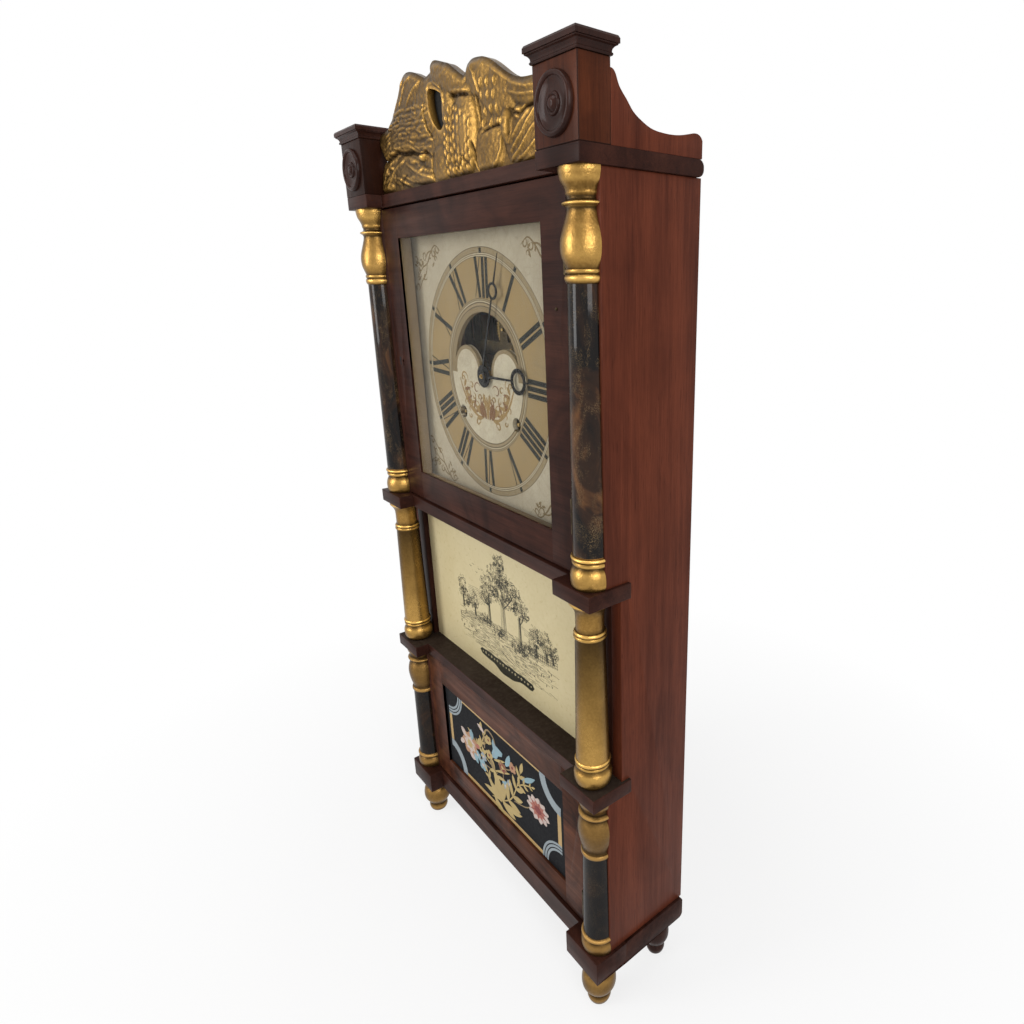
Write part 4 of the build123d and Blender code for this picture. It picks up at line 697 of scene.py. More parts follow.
def columns_and_feet():
    """Half-round columns beside the doors, full-round ones between them, and the feet."""
    base, rise = tier("ledge_upper", "cornice")
    turned_pair("upper_columns", base, turned_profile(
        (0, 18.4),
        [(3, 19.6), (10, 20.0), (16, 18.8), (21, 16.2)],
        bead(21, 26.5, 16.2, 16.6, 1.7),
        bead(26.5, 30.5, 16.6, 17.0, 2.2),
        [(31.5, 17.2)],
        [(260.2, 15.1)],
        [(261.5, 16.3), (263.5, 17.1), (265.2, 17.2), (266.8, 16.4), (267.5, 15.6)],
        bead(267.5, 271.5, 15.6, 15.8, 1.1),
        [(275, 17.2), (281, 19.3), (287, 20.0), (293, 19.6), (300, 17.9), (306, 16.0), (311, 14.6),
         (314.5, 14.2), (316.4, 15.2)],
        [(317.6, 17.4), (318.4, 17.8), (319.1, 17.4)],
        [(320.2, 14.8), (321.6, 13.7), (323.4, 13.9)],
        [(325.2, 14.7), (327.2, 14.9), (330, 16.0), (334.5, 18.5), (338, 19.5), (340.5, 20.0)],
        [(rise, 20.0)],
    ), (column_x, column_y), ["gilt_turned", "stencilled_shaft"], (31, 260.2))

    # The lower columns take gilt darkened as painted shade
    base, rise = tier("base_frame", "ledge_lower")
    turned_pair("lower_columns", base, turned_profile(
        (0, 18.8),
        [(3, 19.6), (8, 20.0), (13, 18.6), (16, 16.5)],
        [(17.4, 19.2)],
        [(18.5, 19.6), (19.8, 19.2)],
        [(21, 17.2), (22, 16.8)],
        [(128, 15.9)],
        bead(128, 134, 15.9, 16.0, 1.6),
        [(136, 15.6), (138, 16.0)],
        [(145, 18.0), (154, 19.6), (162, 20.0), (170, 18.6), (177, 15.8)],
        [(180, 18.7)],
        [(181, 19.0), (182.2, 18.7)],
        [(184, 15.8)],
        [(188, 16.2), (193, 18.4), (rise, 19.4)],
    ), (column_x, column_y), ["gilt_dulled", "blackened_shaft"], (21.5, 128))

    base, rise = tier("ledge_lower", "ledge_upper")
    turned_pair("middle_columns", base, turned_profile(
        (0, 15.6),
        [(3, 17.6), (7, 18.9), (12, 19.4), (16, 18.8), (19, 17.4), (22, 16.2)],
        bead(22, 26, 16.2, 16.4, 1.4),
        bead(26, 30.5, 16.4, 16.8, 1.4),
        [(30.5, 16.9)],
        [(164, 14.5)],
        bead(164, 168, 14.5, 14.4, 1.4),
        bead(168, 172, 14.4, 14.0, 1.3),
        [(172, 13.7)],
        [(188, 13.8), (194, 15.4), (198, 18.2), (199.5, 19.4)],
        [(rise, 19.4)],
    ), (middle_column_x, middle_y("middle_columns")), ["gilt_turned"])

    foot = turned_profile(
        (0.0, 9.0),
        [(2.0, 11.6), (7.0, 13.4), (11.0, 13.0), (13.5, 12.0)],
        [(17.0, 14.6), (24.0, 18.6), (31.0, 19.5), (39.0, 18.4), (45.0, 15.4), (48.5, 13.8)],
        bead(48.5, 53.0, 13.8, 13.8, 0.9),
        [(58.0, 13.8)],
    )
    # The front feet take the same gilt, darkened as painted shade
    turned_pair("front_feet", 0.0, foot, (foot_x, middle_y("front_feet")), ["gilt_dulled"])
    foot = [(height, radius * rear_foot_share) for height, radius in foot]
    turned_pair("rear_feet", 0.0, foot, (foot_x, middle_y("rear_feet")), ["turned"])


def pedestal_caps():
    """Moulded caps, mitred round each pedestal: a bead, a cove and a bevelled slab."""
    low, high, _ = box_of("pedestal_caps")
    # Shares of a cap's height and of its overhang
    profile = turned_profile(
        (0.0, 0.0), [(0.0, 0.18)],
        [(0.06, 0.28), (0.13, 0.28), (0.18, 0.16)], [(0.22, 0.16)],
        [(0.33, 0.22), (0.45, 0.46), (0.52, 0.80)], [(0.60, 0.80)],
        [(0.60, 1.0)], [(0.86, 1.0)], [(1.0, 0.80)],
    )
    blocks = clean_copy("pedestals")
    work = bmesh.new()
    for _, least, most in islands(blocks):
        rings = []
        for up, out in profile:
            grow = out * (least.y - low.y)
            x0, x1, y0, y1 = least.x - grow, most.x + grow, least.y - grow, most.y + grow
            z = low.z + up * (high.z - low.z)
            rings.append([work.verts.new((x, y, z)) for x, y in ((x0, y0), (x1, y0), (x1, y1), (x0, y1))])
        skin(work, rings)
    blocks.free()
    put_mesh("pedestal_caps_moulded", faced_out(work), "pedestal_caps", ["turned"], 25, True)


def front_turnings(name, node, profile, places, material, sides=56, replaces=False):
    """Small turnings that point to the front. The profile is in millimetres, the places in metres."""
    work = bmesh.new()
    forward = Matrix.Rotation(math.radians(90), 4, "X")
    for place in places:
        made = len(work.verts)
        add_turning(work, profile, sides=sides)
        new = list(work.verts)[made:]
        bmesh.ops.transform(work, matrix=Matrix.Translation(place) @ forward, verts=new)
    put_mesh(name, faced_out(work), node, [material], 40, replaces)


def rosettes():
    """The turned bullseyes on the pedestals."""
    low, high, middle = box_of("rosettes")
    radius, depth = (high.z - low.z) / 2, high.y - low.y
    # Shares of a rosette's depth and of its radius
    profile = turned_profile(
        (0.0, 1.0), [(0.38, 1.0)],
        [(0.74, 0.965), (0.88, 0.90), (0.76, 0.83), (0.50, 0.80)], [(0.50, 0.775)],
        [(0.30, 0.64), (0.20, 0.50), (0.26, 0.375)],
        [(0.54, 0.345), (0.62, 0.30), (0.46, 0.25)],
        [(0.62, 0.21), (0.88, 0.15), (0.97, 0.085), (0.98, 0.02)],
    )
    profile = [(up * depth / mm, out * radius / mm) for up, out in profile]
    places = [Vector((sign * (high.x - radius), high.y, middle.z)) for sign in (-1, 1)]
    front_turnings("rosettes_turned", "rosettes", profile, places, "turned", replaces=True)


columns_and_feet()
pedestal_caps()
rosettes()


def flat_loop(node, depth):
    """The outer edge of a CAD node's flat face at a depth, as (x, z) points."""
    work = clean_copy(node)
    level = [face for face in work.faces if all(abs(vert.co.y - depth) < 2e-5 for vert in face.verts)]
    onward = {}
    for face in level:
        for loop in face.loops:
            if loop.link_loop_radial_next.face not in level:
                onward[loop.vert.index] = loop.link_loop_next.vert
    loops = []
    work.verts.ensure_lookup_table()
    while onward:
        start, vert = onward.popitem()
        line = [work.verts[start].co.xz]
        while vert.index != start:
            line.append(vert.co.xz)
            vert = onward.pop(vert.index)
        loops.append([(point.x, point.y) for point in line])
    work.free()
    return max(loops, key=lambda line: max(x for x, _ in line) - min(x for x, _ in line))


def divided(line, step):
    """A closed line with no run longer than step."""
    points = []
    for a, b in zip(line, line[1:] + line[:1]):
        count = max(1, math.ceil(math.dist(a, b) / step))
        points += [(a[0] + (b[0] - a[0]) * i / count, a[1] + (b[1] - a[1]) * i / count) for i in range(count)]
    return np.array(points)


def is_inside(points, line):
    """Which points lie inside a closed line."""
    inside = np.zeros(len(points), dtype=bool)
    x, z = points[:, 0], points[:, 1]
    for (ax, az), (bx, bz) in zip(line, np.roll(line, -1, axis=0)):
        crosses = (az > z) != (bz > z)
        with np.errstate(divide="ignore", invalid="ignore"):
            where = (bx - ax) * (z - az) / (bz - az) + ax
        inside ^= crosses & (x < where)
    return inside


def from_line(points, line, closed=False):
    """Distance of each point from a line, and how far along it the nearest place is."""
    line = np.array(line, dtype=float)
    ends = np.roll(line, -1, axis=0) if closed else line[1:]
    starts = line if closed else line[:-1]
    best = np.full(len(points), 1e9)
    where = np.zeros(len(points))
    gone = 0.0
    for a, b in zip(starts, ends):
        run = b - a
        length = max(np.hypot(*run), 1e-12)
        share = np.clip(((points - a) @ run) / length ** 2, 0.0, 1.0)
        gap = np.hypot(*(points - a - share[:, None] * run).T)
        nearer = gap < best
        best = np.where(nearer, gap, best)
        where = np.where(nearer, gone + share * length, where)
        gone += length
    return best, where / gone


def smooth_step(value, low, high):
    share = np.clip((value - low) / (high - low), 0.0, 1.0)
    return share * share * (3 - 2 * share)


# The carved crest: millimetres from the middle and above the cornice
crest_hollow = [
    (-38, 78), (-35, 81.5), (-28, 80.5), (-19, 77.5), (-12, 73), (-8.5, 67), (-8.8, 60), (-11.5, 53),
    (-15, 47.5), (-20, 44.8), (-26, 46), (-31, 51), (-34.5, 58), (-37, 67),
]
crest_masses = [
    # x, height, half width, half height, turn, relief
    (-86, 82, 40, 22, 24, 3.2),
    (-58, 68, 52, 26, 6, 2.6),
    (-105, 54, 58, 20, 8, 2.9),
    (-142, 46, 30, 13, 12, 2.4),
    (4, 84, 40, 13, -17, 4.4),
    (24, 72, 24, 7, -12, 3.6),
    (-2, 58, 13, 26, 14, 3.4),
    (27, 34, 24, 37, -6, 5.2),
    (2, 22, 18, 26, 12, 3.6),
    (58, 76, 26, 17, -14, 3.6),
    (82, 62, 34, 20, -28, 3.0),
    (124, 54, 36, 11, -10, 2.7),
    (66, 15, 26, 22, 0, 3.0),
    (98, 31, 7.5, 14, 2, 4.8),
    (124, 20, 30, 22, 10, 2.6),
    (116, 37, 7, 6, 20, 3.2),
    (-62, 27, 7, 5, -20, 4.4),
    (-140, 20, 26, 14, 20, 2.8),
    (-100, 18, 34, 14, -6, 2.9),
    (-72, 12, 42, 9, -18, 3.6),
    (-24, 14, 18, 18, 0, 2.4),
    (-150, 8, 16, 9, 0, 3.0),
]
crest_ridges = [
    # half width, relief, points
    (1.6, 1.2, [(-40, 82), (-34, 86), (-24, 85), (-14, 80), (-6.5, 72), (-5, 62)]),
    (1.3, 1.1, [(6, 71.5), (18, 71), (38, 67.5)]),
    (2.0, 1.4, [(-96, 24), (-80, 17), (-62, 10), (-40, 5)]),
    (1.8, 1.3, [(-90, 28), (-72, 23), (-56, 15), (-40, 11)]),
    (1.7, 1.2, [(-108, 14), (-90, 8), (-72, 3)]),
    (1.8, 1.2, [(-132, 14), (-118, 12), (-104, 6), (-92, 2)]),
    (1.6, 1.3, [(-158, 10), (-150, 16), (-142, 24), (-128, 30)]),
    (1.6, 1.1, [(-150, 4), (-138, 12), (-128, 20), (-112, 26)]),
    (1.8, 1.2, [(89, 24), (88, 14), (82, 6), (72, 1)]),
    (1.4, 1.1, [(93, 18), (101, 17), (106, 24), (106, 36)]),
    (1.5, 1.3, [(100, 2), (118, 10), (143, 28)]),
    (1.5, 1.2, [(102, 9), (120, 20), (143, 39)]),
    (1.4, 1.2, [(108, 1), (126, 6), (145, 16)]),
    (1.4, 1.1, [(104, 17), (116, 27), (132, 37)]),
    (1.3, 1.0, [(120, 1), (134, 3), (146, 7)]),
    (1.5, 1.2, [(46, 84), (52, 78), (56, 68), (58, 60)]),
    (1.6, 1.0, [(70, 87), (90, 79), (108, 68), (128, 61), (145, 59)]),
    (1.5, 1.0, [(74, 80), (92, 70), (110, 60), (130, 54), (146, 53)]),
    (1.5, 1.0, [(100, 56), (120, 50), (146, 47)]),
    (1.6, 1.1, [(-120, 72), (-108, 80), (-98, 92), (-88, 101)]),
    (1.5, 0.9, [(-104, 74), (-94, 84), (-84, 96), (-70, 100)]),
    (1.5, 0.8, [(-84, 76), (-70, 86), (-54, 92)]),
]
crest_cuts = [
    (1.5, 3.2, [(-160, 38), (-147, 30), (-132, 34), (-118, 37), (-100, 34), (-84, 33), (-70, 29), (-55, 30),
                (-42, 23)]),
    (1.1, 2.2, [(5, 69), (20, 67.5), (39, 64)]),
    (1.2, 3.0, [(42, 25), (45, 12), (48, 0)]),
    (1.1, 2.6, [(103, 42), (112, 38), (120, 36), (128, 40), (136, 40), (146, 43)]),
    (1.1, 2.4, [(-41, 26), (-42, 14), (-38, 2)]),
    (1.0, 2.0, [(8, 12), (16, 5), (25, 17), (34, 8)]),
    (1.2, 2.2, [(50, 62), (54, 50), (56, 38)]),
    (1.1, 2.2, [(58, 31), (74, 33), (88, 34)]),
    (1.0, 1.8, [(-46, 72), (-48, 60), (-44, 48), (-36, 38)]),
    (1.1, 2.4, [(-168, 22), (-158, 24), (-150, 30)]),
    (1.0, 1.8, [(-118, 2), (-110, 9), (-96, 13)]),
]


def feather_rows():
    """Strokes of the gouge: middle, half length, half width, turn and relief."""
    chance = random.Random(11)
    strokes = []
    for row in range(9):
        height = 37 + row * 4.3
        x = -152 + 5 * (row % 2) + row * 4
        while x < -42:
            lift = 5.0 * math.sin((x + 150) / 21.0) + (x + 100) * 0.05
            tilt = math.degrees(math.atan(5.0 / 21.0 * math.cos((x + 150) / 21.0) + 0.05))
            strokes.append((
                x, height + lift * (1 - row / 12) + chance.uniform(-1, 1), chance.uniform(6, 11),
                chance.uniform(1.3, 2.1), tilt + chance.uniform(-16, 14), chance.uniform(0.6, 1.4),
            ))
            x += chance.uniform(7, 13)
    for column in range(8):
        x = -9 + column * 7.0
        top = 44 + 18 * math.sin(math.pi * (column + 0.5) / 8)
        height = 6 + 3 * (column % 2)
        while height < top:
            strokes.append((
                x + chance.uniform(-1, 1) + (height - 30) * (column - 4) * 0.018, height,
                chance.uniform(3.4, 4.8), chance.uniform(1.9, 2.7),
                82 - (column - 4) * 5 + chance.uniform(-9, 9), chance.uniform(1.1, 1.9),
            ))
            height += chance.uniform(7.0, 9.5)
    for row, height in enumerate((38, 48, 59, 69)):
        x = 60 + 3 * (row % 2)
        while x < 98 - row * 3:
            strokes.append((
                x, height - (x - 60) * 0.10, 4.2, 2.2, 74 + chance.uniform(-10, 10), chance.uniform(1.1, 1.9),
            ))
            x += chance.uniform(9.5, 12.5)
    for turn in range(9):
        angle = math.radians(-60 + 38 * turn)
        strokes.append((
            -106 + 42 * math.cos(angle), 17 + 9 * math.sin(angle), 8, 2.4, 20 * math.sin(2.1 * turn), 1.3,
        ))
    return strokes


def mound(points, x, z, half_x, half_z, turn):
    """1 in the middle of a turned ellipse, and 0 from its edge on."""
    across, up = points[:, 0] - x, points[:, 1] - z
    c, s = math.cos(math.radians(turn)), math.sin(math.radians(turn))
    u, v = (across * c + up * s) / half_x, (up * c - across * s) / half_z
    return np.clip(1 - u * u - v * v, 0, 1)


def tapered(where, steep, ends):
    """1 along a line, and less towards its ends."""
    return np.clip(steep * np.minimum(where, 1 - where) + ends, 0, 1)


def crest_relief(points):
    """Height of the carving over its lowest ground, in millimetres."""
    ground, ripple = 0.9, 0.38
    height, detail = np.zeros(len(points)), np.zeros(len(points))
    for *place, rise in crest_masses:
        height = np.maximum(height, rise * mound(points, *place) ** 0.55)
    for *place, rise in feather_rows():
        detail = np.maximum(detail, rise * mound(points, *place) ** 0.7)
    for half_width, rise, line in crest_ridges:
        gap, where = from_line(points, line)
        ridge = np.clip(1 - (gap / half_width) ** 2, 0, 1)
        detail = np.maximum(detail, rise * tapered(where, 4, 0.35) * ridge)
    height += ground + detail
    for half_width, depth, line in crest_cuts:
        gap, where = from_line(points, line)
        height -= depth * tapered(where, 5, 0.3) * np.exp(-(gap / half_width) ** 2)
    wobble = np.array([
        noise.noise(Vector((x / 3.2, z / 2.6, 0.4))) + 0.6 * noise.noise(Vector((x / 9.0, z / 5.0, 7.0)))
        for x, z in points
    ])
    return height + ripple * wobble


def carve_crest():
    """The carved bird, with a black hollow beside its neck."""
    pitch, edge_pitch, closest = 1.15, 1.2, 0.45
    carved, thinnest, backing, ledge, hollow_gap = 6.2, 2.6, 2.4, 0.5, 0.2
    edge_share, edge_reach = 0.35, 5.0
    passes = 9
    low, high, _ = box_of("eagle_splat")
    thickness = (high.y - low.y) / mm
    edge = divided(flat_loop("eagle_splat", high.y), edge_pitch * mm) / mm
    edge[:, 1] -= low.z / mm
    rim = np.array(smooth_line([*crest_hollow, crest_hollow[0]], 4)[:-1])
    inward = rim.mean(axis=0) - rim
    inner = rim + ledge * inward / np.hypot(*inward.T)[:, None]

    # A grid of points between the lines, joined into triangles
    columns, rows = np.meshgrid(
        np.arange(edge[:, 0].min(), edge[:, 0].max(), pitch), np.arange(0, edge[:, 1].max(), pitch),
    )
    columns[1::2] += pitch / 2
    grid = np.stack([columns.ravel(), rows.ravel()], axis=1)
    grid = grid[is_inside(grid, edge)]
    loops, start = [], 0
    for line in (edge, rim, inner):
        grid = grid[from_line(grid, line, True)[0] > pitch * closest]
        loops += [(start + i, start + (i + 1) % len(line)) for i in range(len(line))]
        start += len(line)
    points = [Vector(point) for point in np.concatenate([edge, rim, inner, grid])]
    flat, _, triangles, sources, _, _ = geometry.delaunay_2d_cdt(
        points, loops, [list(range(len(edge)))], 1, 1e-5,
    )
    flat = np.array([tuple(point) for point in flat])
    from_edge, from_rim = [from_line(flat, line, True)[0] for line in (edge, rim)]
    rounding = edge_share + (1 - edge_share) * smooth_step(from_edge, 0.0, edge_reach)
    hollow = is_inside(flat, rim) & (from_rim > hollow_gap)
    surface = np.clip(thickness - carved + crest_relief(flat) * rounding, thinnest, thickness)
    depth = np.where(hollow, backing, surface)

    # The carved front, the back and the wall between them
    work = bmesh.new()
    cavity, ridge = [work.verts.layers.float.new(name) for name in ("cavity", "ridge")]
    front = [work.verts.new((x * mm, high.y - d * mm, low.z + z * mm)) for (x, z), d in zip(flat, depth)]
    outer = sorted((source[0], i) for i, source in enumerate(sources) if source and source[0] < len(edge))
    outer = [front[i] for _, i in outer]
    behind = [work.verts.new((vert.co.x, high.y, vert.co.z)) for vert in outer]
    for corners in triangles:
        face = work.faces.new([front[i] for i in corners])
        face.material_index = int(all(hollow[i] for i in corners))
    for corners in zip(outer, behind, behind[1:] + behind[:1], outer[1:] + outer[:1]):
        work.faces.new(corners)
    work.faces.new(behind).material_index = 2

    # Painted highlight on the high places and the breast, and painted shade in the low ones
    work.verts.index_update()
    pairs = np.array([[vert.index for vert in link.verts] for link in work.edges])
    pairs = pairs[(pairs < len(flat)).all(axis=1)]
    smooth = depth.copy()
    for _ in range(passes):
        total, links = smooth.copy(), np.ones(len(flat))
        for a, b in (pairs.T, pairs.T[::-1]):
            np.add.at(total, a, smooth[b])
            np.add.at(links, a, 1.0)
        smooth = total / links
    # worn: the gilt is painted darker towards the crest's left end
    worn = 0.30 * smooth_step(-flat[:, 0], 0.0, 90.0)
    # breast: a painted highlight on the bird's breast
    breast = np.exp(-((flat[:, 0] - 34) / 20) ** 2 - ((flat[:, 1] - 36) / 26) ** 2)
    sunk = np.clip((smooth - depth) * 0.9 + 0.05 + worn, 0.0, 0.85)
    proud = np.clip((depth - smooth) * 0.6 - 0.08 + 0.30 * breast, 0.0, 0.7)
    for vert, low_share, high_share in zip(front, sunk, proud):
        vert[cavity], vert[ridge] = low_share, high_share
    names = ["gilt_carved", "black_backing", "pine_across"]
    put_mesh("carved_crest", faced_out(work), "eagle_splat", names, 62, True)


carve_crest()


class Painting:
    """Thin layers of paint on the front of an upright CAD node, as closed plates. Millimetres."""

    layer = 0.07
    sunk = 0.15
    spread = 0.05
    golden = 0.618034

    def __init__(self, name, node, origin=(0.0, 0.0)):
        self.name, self.node, self.origin = name, node, origin
        self.surface = box_of(node)[0].y
        self.work = bmesh.new()
        self.names = []
        self.made = 0
        self.flip = 1

    def sheets(self, level):
        """Depths of a plate's front and back. No two neighbours share a plane."""
        self.made += 1
        front = self.surface - (self.layer * level + self.spread * (self.made * self.golden % 1)) * mm
        return front, self.surface + self.sunk * mm

    def vert(self, x, z, depth):
        """A corner of a plate. Left and right change places while flip is -1."""
        return self.work.verts.new(((self.origin[0] + self.flip * x) * mm, depth, (self.origin[1] + z) * mm))

    def close(self, rings, name):
        """A closed plate over rings of corners, with a material."""
        if name not in self.names:
            self.names.append(name)
        for band in skin(self.work, rings):
            for face in band:
                face.material_index = self.names.index(name)

    def plate(self, outline, name, level=1):
        """A filled outline."""
        front, back = [[self.vert(x, z, depth) for x, z in outline] for depth in self.sheets(level)]
        self.close([back, front], name)

    def stroke(self, line, widths, name, level=1):
        """A brush stroke along a line. widths is one width, or one for each point."""
        if isinstance(widths, (int, float)):
            widths = [widths] * len(line)
        front, back = self.sheets(level)
        rings = []
        for before, (x, z), after, width in zip([line[0], *line], line, [*line[1:], line[-1]], widths):
            run = Vector((after[0] - before[0], after[1] - before[1]))
            run = run.normalized() if run.length > 1e-6 else Vector((1, 0))
            side = Vector((-run.y, run.x)) * width / 2
            rings.append([
                self.vert(x + sign * side.x, z + sign * side.y, depth)
                for sign, depth in ((1, front), (-1, front), (-1, back), (1, back))
            ])
        self.close(rings, name)

    def swelled(self, line, width, name, level=1, ends=0.3):
        """A stroke that is thin at its ends and full in the middle."""
        last = len(line) - 1
        widths = [width * (ends + (1 - ends) * math.sin(math.pi * i / last)) for i in range(last + 1)]
        self.stroke(line, widths, name, level)

    def disc(self, x, z, radius, name, level=1, high=1.0, sides=28, petals=0, depth=0.0, turn=0.0):
        """A round or lobed spot."""
        outline = []
        for i in range(sides):
            angle = 2 * math.pi * i / sides
            reach = radius * (1 - depth * abs(math.sin(petals * (angle + turn) / 2)) ** 2)
            outline.append((x + reach * math.cos(angle), z + high * reach * math.sin(angle)))
        self.plate(outline, name, level)

    def leaf(self, x, z, length, width, turn, name, level=1, bend=0.12):
        """A pointed leaf from its stem end."""
        parts = 8
        spine, widths = [(x, z)], []
        for i in range(parts + 1):
            t = i / parts
            widths.append(max(0.15, width * math.sin(math.pi * min(1.0, 0.06 + t * 0.94)) ** 0.8))
            if i:
                angle = math.radians(turn + bend * 100 * (t - 0.5))
                x, z = x + length / parts * math.cos(angle), z + length / parts * math.sin(angle)
                spine.append((x, z))
        self.stroke(spine, widths, name, level)

    def done(self):
        put_mesh(self.name, faced_out(self.work), self.node, self.names)


def scroll(x, z, radius, start, sweep, shrink=0.25, steps=18):
    """A C-scroll that tightens towards its end."""
    line = []
    for i in range(steps):
        t = i / (steps - 1)
        angle = math.radians(start + sweep * t)
        reach = radius * (1 - (1 - shrink) * t)
        line.append((x + reach * math.cos(angle), z + reach * math.sin(angle)))
    return line


# The dial's numerals and ornament, from the middle of its rings
numeral_foot, numeral_head = 81.0, 121.0
numeral_turn = 2.3
hour_mark = (124.5, 129.5)
minute_ring = 127.0
bar_width, bar_gap, hair_width = 4.9, 2.0, 0.9
letter_width = {"I": bar_width, "V": 13.0, "X": 12.5}
numerals = "XII I II III IIII V VI VII VIII IX X XI".split()
corner_stems = [
    [(80, 129), (92, 135), (104, 127), (113, 117), (126, 112), (141, 101)],
    [(100, 130), (110, 128), (118, 120)],
    [(126, 112), (134, 118), (143, 116)],
    [(113, 117), (118, 106), (128, 99), (136, 90)],
]
corner_curls = [
    # x, height, radius
    (86, 130, 4.6), (97, 128, 6.0), (92, 121, 3.6), (118, 125, 5.0), (129, 119, 5.5), (140, 121, 4.5),
    (133, 105, 5.5), (121, 103, 4.5), (141, 92, 4.5),
]
middle_scrolls = [
    # x, height, radius, start, sweep, width, material, level
    (47, -5, 9, 210, -280, 1.9, "scroll_gold", 1),
    (40, -22, 8, 30, 280, 1.9, "scroll_gold", 2),
    (20, -15, 8, 150, -270, 1.8, "scroll_rose", 1),
    (22, -36, 8, 60, 270, 1.9, "scroll_gold", 1),
    (36, -40, 7, 200, -250, 1.7, "scroll_gold", 2),
    (19, -51, 4.6, -40, 330, 1.3, "scroll_gold", 1),
    (9, -26, 7, 220, 250, 1.7, "scroll_rose", 2),
]
middle_leaves = [
    # x, height, length, width, turn, material
    (6, -43, 17, 6, 62, "scroll_rose"), (12, -42, 15, 5, 35, "scroll_gold"),
    (24, -40, 15, 5, 20, "scroll_gold"), (3, -32, 14, 5, 75, "scroll_gold"),
    (32, -33, 13, 5, 38, "scroll_rose"), (40, -25, 12, 4, 55, "scroll_gold"),
    (10, -45, 15, 4, -12, "scroll_gold"),
]
middle_curls = [
    # x, height, radius, start, sweep
    (49, -6, 4.6, 250, -300), (31, -12, 4.2, 40, 300), (15, -24, 4.4, 200, -300), (27, -24, 4.0, 90, 300),
    (21, -52, 4.6, 120, -300), (44, -31, 3.8, 300, 300), (37, -46, 3.4, 20, -300),
]


def spoke(turn, reach, aside=0.0):
    """A point of the dial on a spoke, or aside from it."""
    c, s = math.cos(turn), math.sin(turn)
    return reach * s + aside * c, reach * c - aside * s


def paint_numeral(painting, text, turn):
    """A Roman numeral with its foot towards the middle of the dial."""

    def bar(foot, head, width, level):
        painting.stroke([
            spoke(turn, numeral_foot + (numeral_head - numeral_foot) * i / 4, foot + (head - foot) * i / 4)
            for i in range(5)
        ], width, "dial_black", level)

    place = -(sum(letter_width[letter] for letter in text) + bar_gap * (len(text) - 1)) / 2
    for letter in text:
        end = place + letter_width[letter]
        if letter == "I":
            bar((place + end) / 2, (place + end) / 2, bar_width, 2)
        elif letter == "V":
            bar(place + letter_width["V"] * 0.52, place + bar_width / 2, bar_width, 2)
            bar(place + letter_width["V"] * 0.60, end - hair_width, hair_width, 3)
        else:
            bar(end - bar_width / 2, place + bar_width / 2, bar_width, 2)
            bar(place + hair_width, end - hair_width, hair_width, 3)
        place = end + bar_gap


def paint_dial():
    """Numerals, minute dots, and scrolls in the corners and in the middle."""
    painting = Painting("dial_painting", "dial_board", (paint_x, paint_z))
    for hour, text in enumerate(numerals):
        turn = math.radians(30 * hour + numeral_turn)
        paint_numeral(painting, text, turn)
        painting.stroke([spoke(turn, reach) for reach in hour_mark], 4.2, "dial_black", 2)
    for minute in range(60):
        if minute % 5:
            dot = spoke(math.radians(6 * minute + numeral_turn), minute_ring)
            painting.disc(*dot, 0.75, "dial_gold_line", 2, sides=8)

    for flip_x, flip_z in ((-1, 1), (1, 1), (-1, -1), (1, -1)):
        for stem in corner_stems:
            line = [(flip_x * x, flip_z * z) for x, z in smooth_line(stem)]
            painting.swelled(line, 2.0, "scroll_faded", 1)
        for index, (x, z, radius) in enumerate(corner_curls):
            curl = scroll(x, z, radius, 60 + 70 * index, 310 if index % 2 else -310, 0.3)
            painting.swelled([(flip_x * u, flip_z * v) for u, v in curl], 1.7, "scroll_faded", 2)
            painting.leaf(
                flip_x * (x + radius), flip_z * (z - radius), 7.0, 2.6,
                90 - flip_x * flip_z * 50 + 40 * index, "scroll_faded", 2,
            )

    for flip in (-1, 1):
        painting.flip = flip
        for *shape, width, name, level in middle_scrolls:
            painting.swelled(scroll(*shape), width, name, level)
        branch = smooth_line([(56, -6), (48, -22), (36, -36), (20, -45), (3, -43)])
        painting.swelled(branch, 3.4, "scroll_gold", 1)
        painting.swelled(smooth_line([(4, -20), (12, -32), (24, -40), (34, -34)]), 3.0, "scroll_rose", 2)
        for leaf in middle_leaves:
            painting.leaf(*leaf, 3, 0.2)
        arch = smooth_line([(48, -12), (42, -26), (28, -37), (8, -41)], 4)
        for index, (x, z) in enumerate(arch[1:]):
            turn = 150 - 9 * index + (-28, 24, 62)[index % 3]
            name = "scroll_rose" if index % 3 == 1 else "scroll_gold"
            painting.leaf(x, z, 9.5 + 2.5 * (index % 2), 3.6, turn, name, 4, 0.2)
        for curl in middle_curls:
            painting.swelled(scroll(*curl, 0.3), 1.5, "scroll_gold", 5)
    for x, length, turn in ((0, 24, 90), (-4, 18, 108), (4, 18, 72), (-9, 13, 122), (9, 13, 58)):
        painting.leaf(x, -46, length, 5.0, turn, "scroll_rose" if x else "scroll_gold", 6)
    painting.done()


